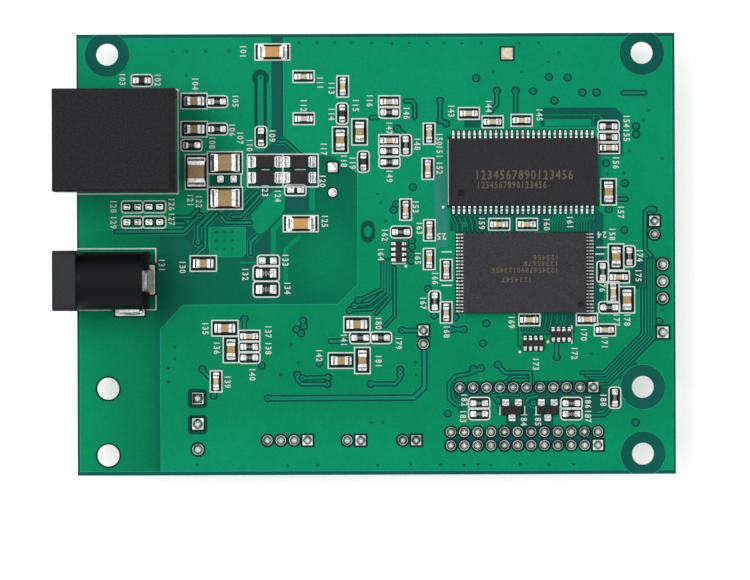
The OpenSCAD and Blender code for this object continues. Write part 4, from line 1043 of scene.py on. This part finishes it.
# where a part's number stands: x, y; all read from the right-hand side
numberPlaces = [
    (-19.6, 30.4), (-32.4, 26.2), (-37.7, 26.3), (-26.8, 25.6), (-20.8, 23.0), (-21.3, 18.7), (-20.1, 17.5),
    (-24.3, 16.8), (-15.3, 17.8), (-18.7, 16.4), (-8.1, 25.7), (-10.6, 22.3), (-6.4, 24.9), (-6.4, 21.0),
    (-2.8, 22.3), (-0.7, 23.0), (-7.6, 15.8), (-4.6, 14.0), (-3.3, 13.7), (-7.8, 11.0), (-27.6, 8.2),
    (-26.3, 8.0), (-16.4, 9.6), (-14.5, 8.8), (-7.5, 5.0), (-30.4, 7.6), (-30.4, 5.4), (-39.1, 7.3),
    (-39.1, 4.9), (-28.8, -1.8), (-31.9, -1.5), (-19.4, -2.9), (-13.4, -0.8), (-13.1, -5.0), (-25.4, -11.0),
    (-23.7, -13.9), (-16.0, -11.5), (-16.0, -14.0), (-22.1, -19.0), (-18.4, -17.9), (-4.7, -12.8),
    (-8.4, -15.1), (11.5, 21.4), (17.1, 22.1), (24.7, 20.8), (4.8, 21.1), (2.2, 18.9), (6.4, 16.5),
    (2.2, 11.7), (9.7, 17.2), (9.7, 15.3), (9.7, 12.9), (6.1, 7.1), (37.7, 19.8), (37.7, 17.7),
    (36.1, 13.6), (36.8, 6.2), (35.5, 2.9), (16.0, 4.6), (25.7, 4.4), (29.2, 4.7), (1.5, 2.9), (6.7, 3.9),
    (0.9, 0.0), (6.4, -0.6), (9.0, -3.6), (7.2, -7.3), (10.7, -11.6), (20.4, -10.2), (31.2, -12.1),
    (34.3, -13.3), (29.8, -14.9), (24.0, -16.5), (39.6, -0.3), (39.4, -3.3), (34.0, -4.8), (36.1, -9.9),
    (37.7, -9.9), (3.5, -13.3), (0.5, -10.3), (0.5, -16.0), (13.3, -21.8), (13.1, -24.3), (22.2, -24.8),
    (24.3, -24.8), (31.8, -22.2), (31.8, -24.3), (34.1, -21.9),
]
# plain lead numbers at the flash memory's first corners
leadNumbers = [("24", (33.95, 2.75)), ("25", (9.95, 2.6))]

# the digits at a size of 1: steps of their curves, half their thickness, boldness, height and widest width
digitStyle = {"smooth": 2, "thick": 0.5, "bold": 0.022, "height": 0.7, "width": 0.62}


def digitMeshes():
    made = []
    for digit in "0123456789":
        curve = bpy.data.curves.new("digit" + digit, "FONT")
        curve.body = digit
        curve.size = 1.0
        curve.resolution_u = digitStyle["smooth"]
        curve.extrude = digitStyle["thick"]
        curve.offset = digitStyle["bold"]
        curve.align_x = "CENTER"
        letter = linked("digit" + digit, curve)
        bpy.context.view_layer.update()
        graph = bpy.context.evaluated_depsgraph_get()
        made.append(bpy.data.meshes.new_from_object(letter.evaluated_get(graph)))
        bpy.data.objects.remove(letter)
    return made


def number(sheet, digits, text, at, angle, height, pitch):
    # digits in columns of one width, centred on their place
    size = height / digitStyle["height"]
    squeeze = min(1.0, pitch / (digitStyle["width"] * size))
    facing = sheet.side["sign"]
    thick = sheet.height
    for column, digit in enumerate(text):
        shift = (column - (len(text) - 1) / 2) * pitch * facing
        place = Matrix.Translation((at[0], at[1], thick / 2)) @ Matrix.Rotation(angle, 4, "Z")
        place = place @ Matrix.Translation((shift, -height / 2, 0))
        sheet.stamp(digits[int(digit)], place @ Matrix.Diagonal((size * squeeze * facing, size, thick, 1)))


def whitePrint(digits):
    lines = Layer("whiteLines", "silkPrint", "silk")
    for node, middle, angle, length, width, _ in chipParts("top"):
        out, past = silkMargin(length)
        halfLong, halfWide = length / 2 + out, width / 2 + past
        halfX, halfY = (halfWide, halfLong) if angle else (halfLong, halfWide)
        outlineBox(lines, middle.x - halfX, middle.y - halfY, middle.x + halfX, middle.y + halfY,
                   silk["round"] if softFrame(node) else 0.0)
    for points in silkLines:
        lines.stroke(points, silk["line"])
    for place in silkRound:
        outlineBox(lines, *place, silk["emptyRound"])
    for at in silkDots:
        lines.disc(at, silk["dot"], 12)
    lines.finish()
    numbers = Layer("whiteNumbers", "numberPrint", "print")
    for index, at in enumerate(numberPlaces):
        number(numbers, digits, str(index + silk["firstNumber"]), at, -pi / 2, *silk["number"])
    for text, at in leadNumbers:
        number(numbers, digits, text, at, pi, *silk["leadNumber"])
    numbers.finish()


chipMarks = {
    # how many of the running digits, middle, turn, height, pitch
    "memory_body": [(16, (22.3, 11.8), 0, 1.35, 0.93), (16, (20.45, 10.3), 0, 1.0, 0.66)],
    "flash_body": [(6, (25.55, -0.6), pi, 0.75, 0.66), (8, (24.8, -1.5), pi, 0.75, 0.66),
                   (16, (22.4, -2.5), pi, 0.75, 0.63), (7, (21.15, -3.9), pi, 0.75, 0.66)],
}
runningDigits = "1234567890123456"
# the resistors' number: its height and pitch are shares of the part's width and of that height
resistorMark = {"text": "000", "height": 0.6, "pitch": 0.8}
markThickness = 0.02


def partPrintAt(sheet, digits, high, *place):
    # number() sets its digits from the board up, so the sheet is lifted to the part's top for this row
    before = len(sheet.bm.verts)
    number(sheet, digits, *place)
    sheet.bm.verts.ensure_lookup_table()
    bmesh.ops.translate(sheet.bm, verts=sheet.bm.verts[before:], vec=(0, 0, high - markThickness / 2))


def partMarks(digits):
    marks = Layer("chipNumbers", "laserPrint", markThickness, slotName="chip_body")
    for node, rows in chipMarks.items():
        for count, *place in rows:
            partPrintAt(marks, digits, solidBoxes(node)[0][1].z, runningDigits[:count], *place)
    marks.finish()
    small = Layer("resistorNumbers", "partPrint", markThickness, slotName="resistor_black")
    for node, middle, angle, _, width, height in chipParts("top"):
        if "resistor" in node:
            tall = width * resistorMark["height"]
            partPrintAt(small, digits, middle.z + height / 2, resistorMark["text"], middle, angle, tall,
                        tall * resistorMark["pitch"])
    small.finish()


# how far a printed frame stands out from a chip with leads on four sides, and from another one
closeFrame, wideFrame = 0.15, 0.5
underside = {
    "pour": [[(-44.2, 32.4), (-16.2, 32.4), (-16.2, 4.0), (-28.0, -7.5), (-44.2, -7.5)],
             [(-15.6, 32.4), (44.5, 32.4), (44.5, -32.4), (-44.2, -32.4), (-44.2, -8.1), (-27.7, -8.1),
              (-15.6, 4.0)]],
    "frames": {"processor_body": closeFrame, "network_controller_body": closeFrame,
               "line_transformer_body": wideFrame, "power_inductor_body": wideFrame,
               "regulator_body": wideFrame},
    # the dot at a four-sided chip's first corner: how far out along X and Y, and radius
    "dot": (0.4, 0.9, 0.3),
    # first chip number, its distance from the chip, height and pitch
    "firstNumber": 201, "numberApart": 2.6, "number": (1.1, 0.85),
    # how much longer and wider the network jack's lands are than its solder
    "jackLand": 0.5,
}


def underSide(cutter, digits):
    pour = Layer("underCopper", "underMask", "pour", "under")
    for outline in underside["pour"]:
        pour.plate(outline)
    metal = Layer("underLands", "solder", "land", "under", "solder")
    # pale edges are painted highlights, and the land clearances are darkened with painted shade
    rims, rings, gaps, deep, runs, lines, numbers = (
        Layer("under" + name, finish, level, "under") for name, finish, level in (
            ("Rims", "rimMask", "rim"), ("KeepOuts", "bareMask", "gap"), ("Clearances", "gapMask", "gap"),
            ("LandClearances", "shadowMask", "deep"), ("Tracks", "trackMask", "track"),
            ("Lines", "silkPrint", "silk"), ("Numbers", "numberPrint", "print")))
    keepOuts(rims, rings, holes["bolt"], 48)
    for at in vias:
        gaps.disc(at, routing["viaGap"], 14)
        runs.disc(at, routing["viaCopper"], 14)
    for at in stitches:
        gaps.disc(at, routing["stitch"], 8)
    roundLands(metal, deep)
    grow = underside["jackLand"]
    for low, high in solidBoxes("jack_solder"):
        size = (high.x - low.x + grow, high.y - low.y + grow)
        bareLand(deep, metal, (low + high) / 2, size, "networkJack")
    for index, (node, apart) in enumerate(underside["frames"].items()):
        low, high = solidBoxes(node)[0]
        if apart == closeFrame:
            x, y, radius = underside["dot"]
            lines.disc((low.x - x, high.y + y), radius)
        outlineBox(lines, low.x - apart, low.y - apart, high.x + apart, high.y + apart)
        at = ((low.x + high.x) / 2, high.y + underside["numberApart"])
        number(numbers, digits, str(index + underside["firstNumber"]), at, 0, *underside["number"])
    pour.finish(cutter)
    for sheet in (rims, rings, gaps, deep, runs, metal, lines, numbers):
        sheet.finish()


softEdges = {
    # width of the rounding, finish and slot
    "network_jack_housing": (0.12, "jackPlastic", "housing_black"),
    "power_jack_housing": (0.10, "barrelPlastic", "housing_black"),
    "memory_body": (0.04, "memoryPlastic", "chip_body"), "flash_body": (0.04, "flashPlastic", "chip_body"),
}
flangeLength = 3.5
# merging distance, angles of faces that join and of edges that are rounded, area below which a face is smooth
facets = {"merge": 0.001, "flat": 1, "sharp": 28, "small": 1.0}


def softened(node, width, finish, slotName):
    # a copy of a moulded node with its sharp edges rounded
    bm = bmesh.new()
    bm.from_mesh(nodes[node].data)
    bmesh.ops.scale(bm, vec=(1 / mm, 1 / mm, 1 / mm), verts=bm.verts)
    bmesh.ops.remove_doubles(bm, verts=bm.verts, dist=facets["merge"])
    bmesh.ops.dissolve_limit(bm, angle_limit=radians(facets["flat"]), verts=bm.verts, edges=bm.edges)
    sharp = [edge for edge in bm.edges
             if len(edge.link_faces) == 2 and edge.calc_face_angle() > radians(facets["sharp"])]
    bevelEdges(bm, sharp, width, 2)
    for face in bm.faces:
        face.smooth = face.calc_area() < facets["small"]
    piece = finishPiece(node + "_finish", bm, finish)
    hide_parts(node)
    return piece


def housings():
    made = {node: softened(node, *values) for node, values in softEdges.items()}
    # the power jack's flange is a rougher plastic than its barrel, painted lighter: a painted sheen on its
    # flat top
    mesh = made["power_jack_housing"].data
    mesh.materials.append(finishes["flangePlastic"])
    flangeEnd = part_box("power_jack_housing")[0].x + flangeLength * mm
    for face in mesh.polygons:
        if face.center.x < flangeEnd:
            face.material_index = 1


drill = holeCutter()
copperAreas(drill)
print("copper areas made")
boardFeatures()
print("tracks and lands made")
for side in sides:
    partSolder(side)
print("solder made")
digits = digitMeshes()
whitePrint(digits)
partMarks(digits)
print("print made")
underSide(drill, digits)
bpy.data.objects.remove(drill)
print("underside made")
housings()
print("housings finished")

stage = {
    "cameraHeight": 1.10, "fieldWidth": 0.1122, "aim": (-0.00003, -0.00536), "roll": -0.2, "sensor": 36,
    "worldLight": 0.42, "floorGlow": 0.55, "floorTone": 0.92, "floorSize": 3, "floorDrop": 0.0002,
    # place, power and width of each lamp
    "key": ((-0.50, 0.22, 0.84), 5.9, 0.6),
    "fill": ((0.60, -0.30, 0.70), 1.0, 0.6),
}


def seenDirectly(shader):
    # 1 where the camera, a mirror or glass looks
    camera, mirror, glass = (shader.node("ShaderNodeLightPath", {}, {}, name) for name in
                             ("Is Camera Ray", "Is Glossy Ray", "Is Transmission Ray"))
    return camera.apply("MAXIMUM", camera.apply("MAXIMUM", camera, mirror), glass)


def makeWorld():
    # a plain white room, which lights the object less than it shows
    room = Shader("studio", bpy.data.worlds, "Background")
    strength = room.node("ShaderNodeMapRange", {}, {
        "Value": seenDirectly(room), "To Min": stage["worldLight"], "To Max": 1.0})
    bpy.context.scene.world = room.finish({"Color": grey(1), "Strength": strength})


def makeFloor():
    bm = bmesh.new()
    bmesh.ops.create_grid(bm, x_segments=1, y_segments=1, size=stage["floorSize"])
    bmesh.ops.translate(bm, verts=bm.verts, vec=(0, 0, cadBounds[0][2] - stage["floorDrop"]))
    mesh = meshFrom("studioFloor", bm)
    shader = Shader("studioFloor")
    glow = shader.mix(seenDirectly(shader), grey(0), grey(stage["floorGlow"]))
    mesh.materials.append(shader.finish({
        "Base Color": grey(stage["floorTone"]), "Roughness": 0.9, "Specular IOR Level": 0.0,
        "Emission Color": glow, "Emission Strength": 1.0}))
    linked("studioFloor", mesh)


def makeLamp(name):
    place, watts, size = stage[name]
    lamp = bpy.data.lights.new(name, "AREA")
    lamp.energy = watts
    lamp.size = size
    holder = linked(name, lamp)
    holder.location = place
    holder.rotation_euler = (-Vector(place)).to_track_quat("-Z", "Y").to_euler()


def makeCamera():
    camera = bpy.data.cameras.new("camera")
    camera.sensor_width = stage["sensor"]
    camera.lens = stage["sensor"] * (stage["cameraHeight"] - top * mm) / stage["fieldWidth"]
    camera.clip_start = 0.01
    camera.clip_end = 20
    holder = linked("camera", camera)
    holder.location = (*stage["aim"], stage["cameraHeight"])
    holder.rotation_euler = (0, 0, radians(stage["roll"]))
    bpy.context.scene.camera = holder


makeWorld()
makeFloor()
makeLamp("key")
makeLamp("fill")
makeCamera()
bpy.context.scene.view_settings.view_transform = "Standard"
print("stage set")
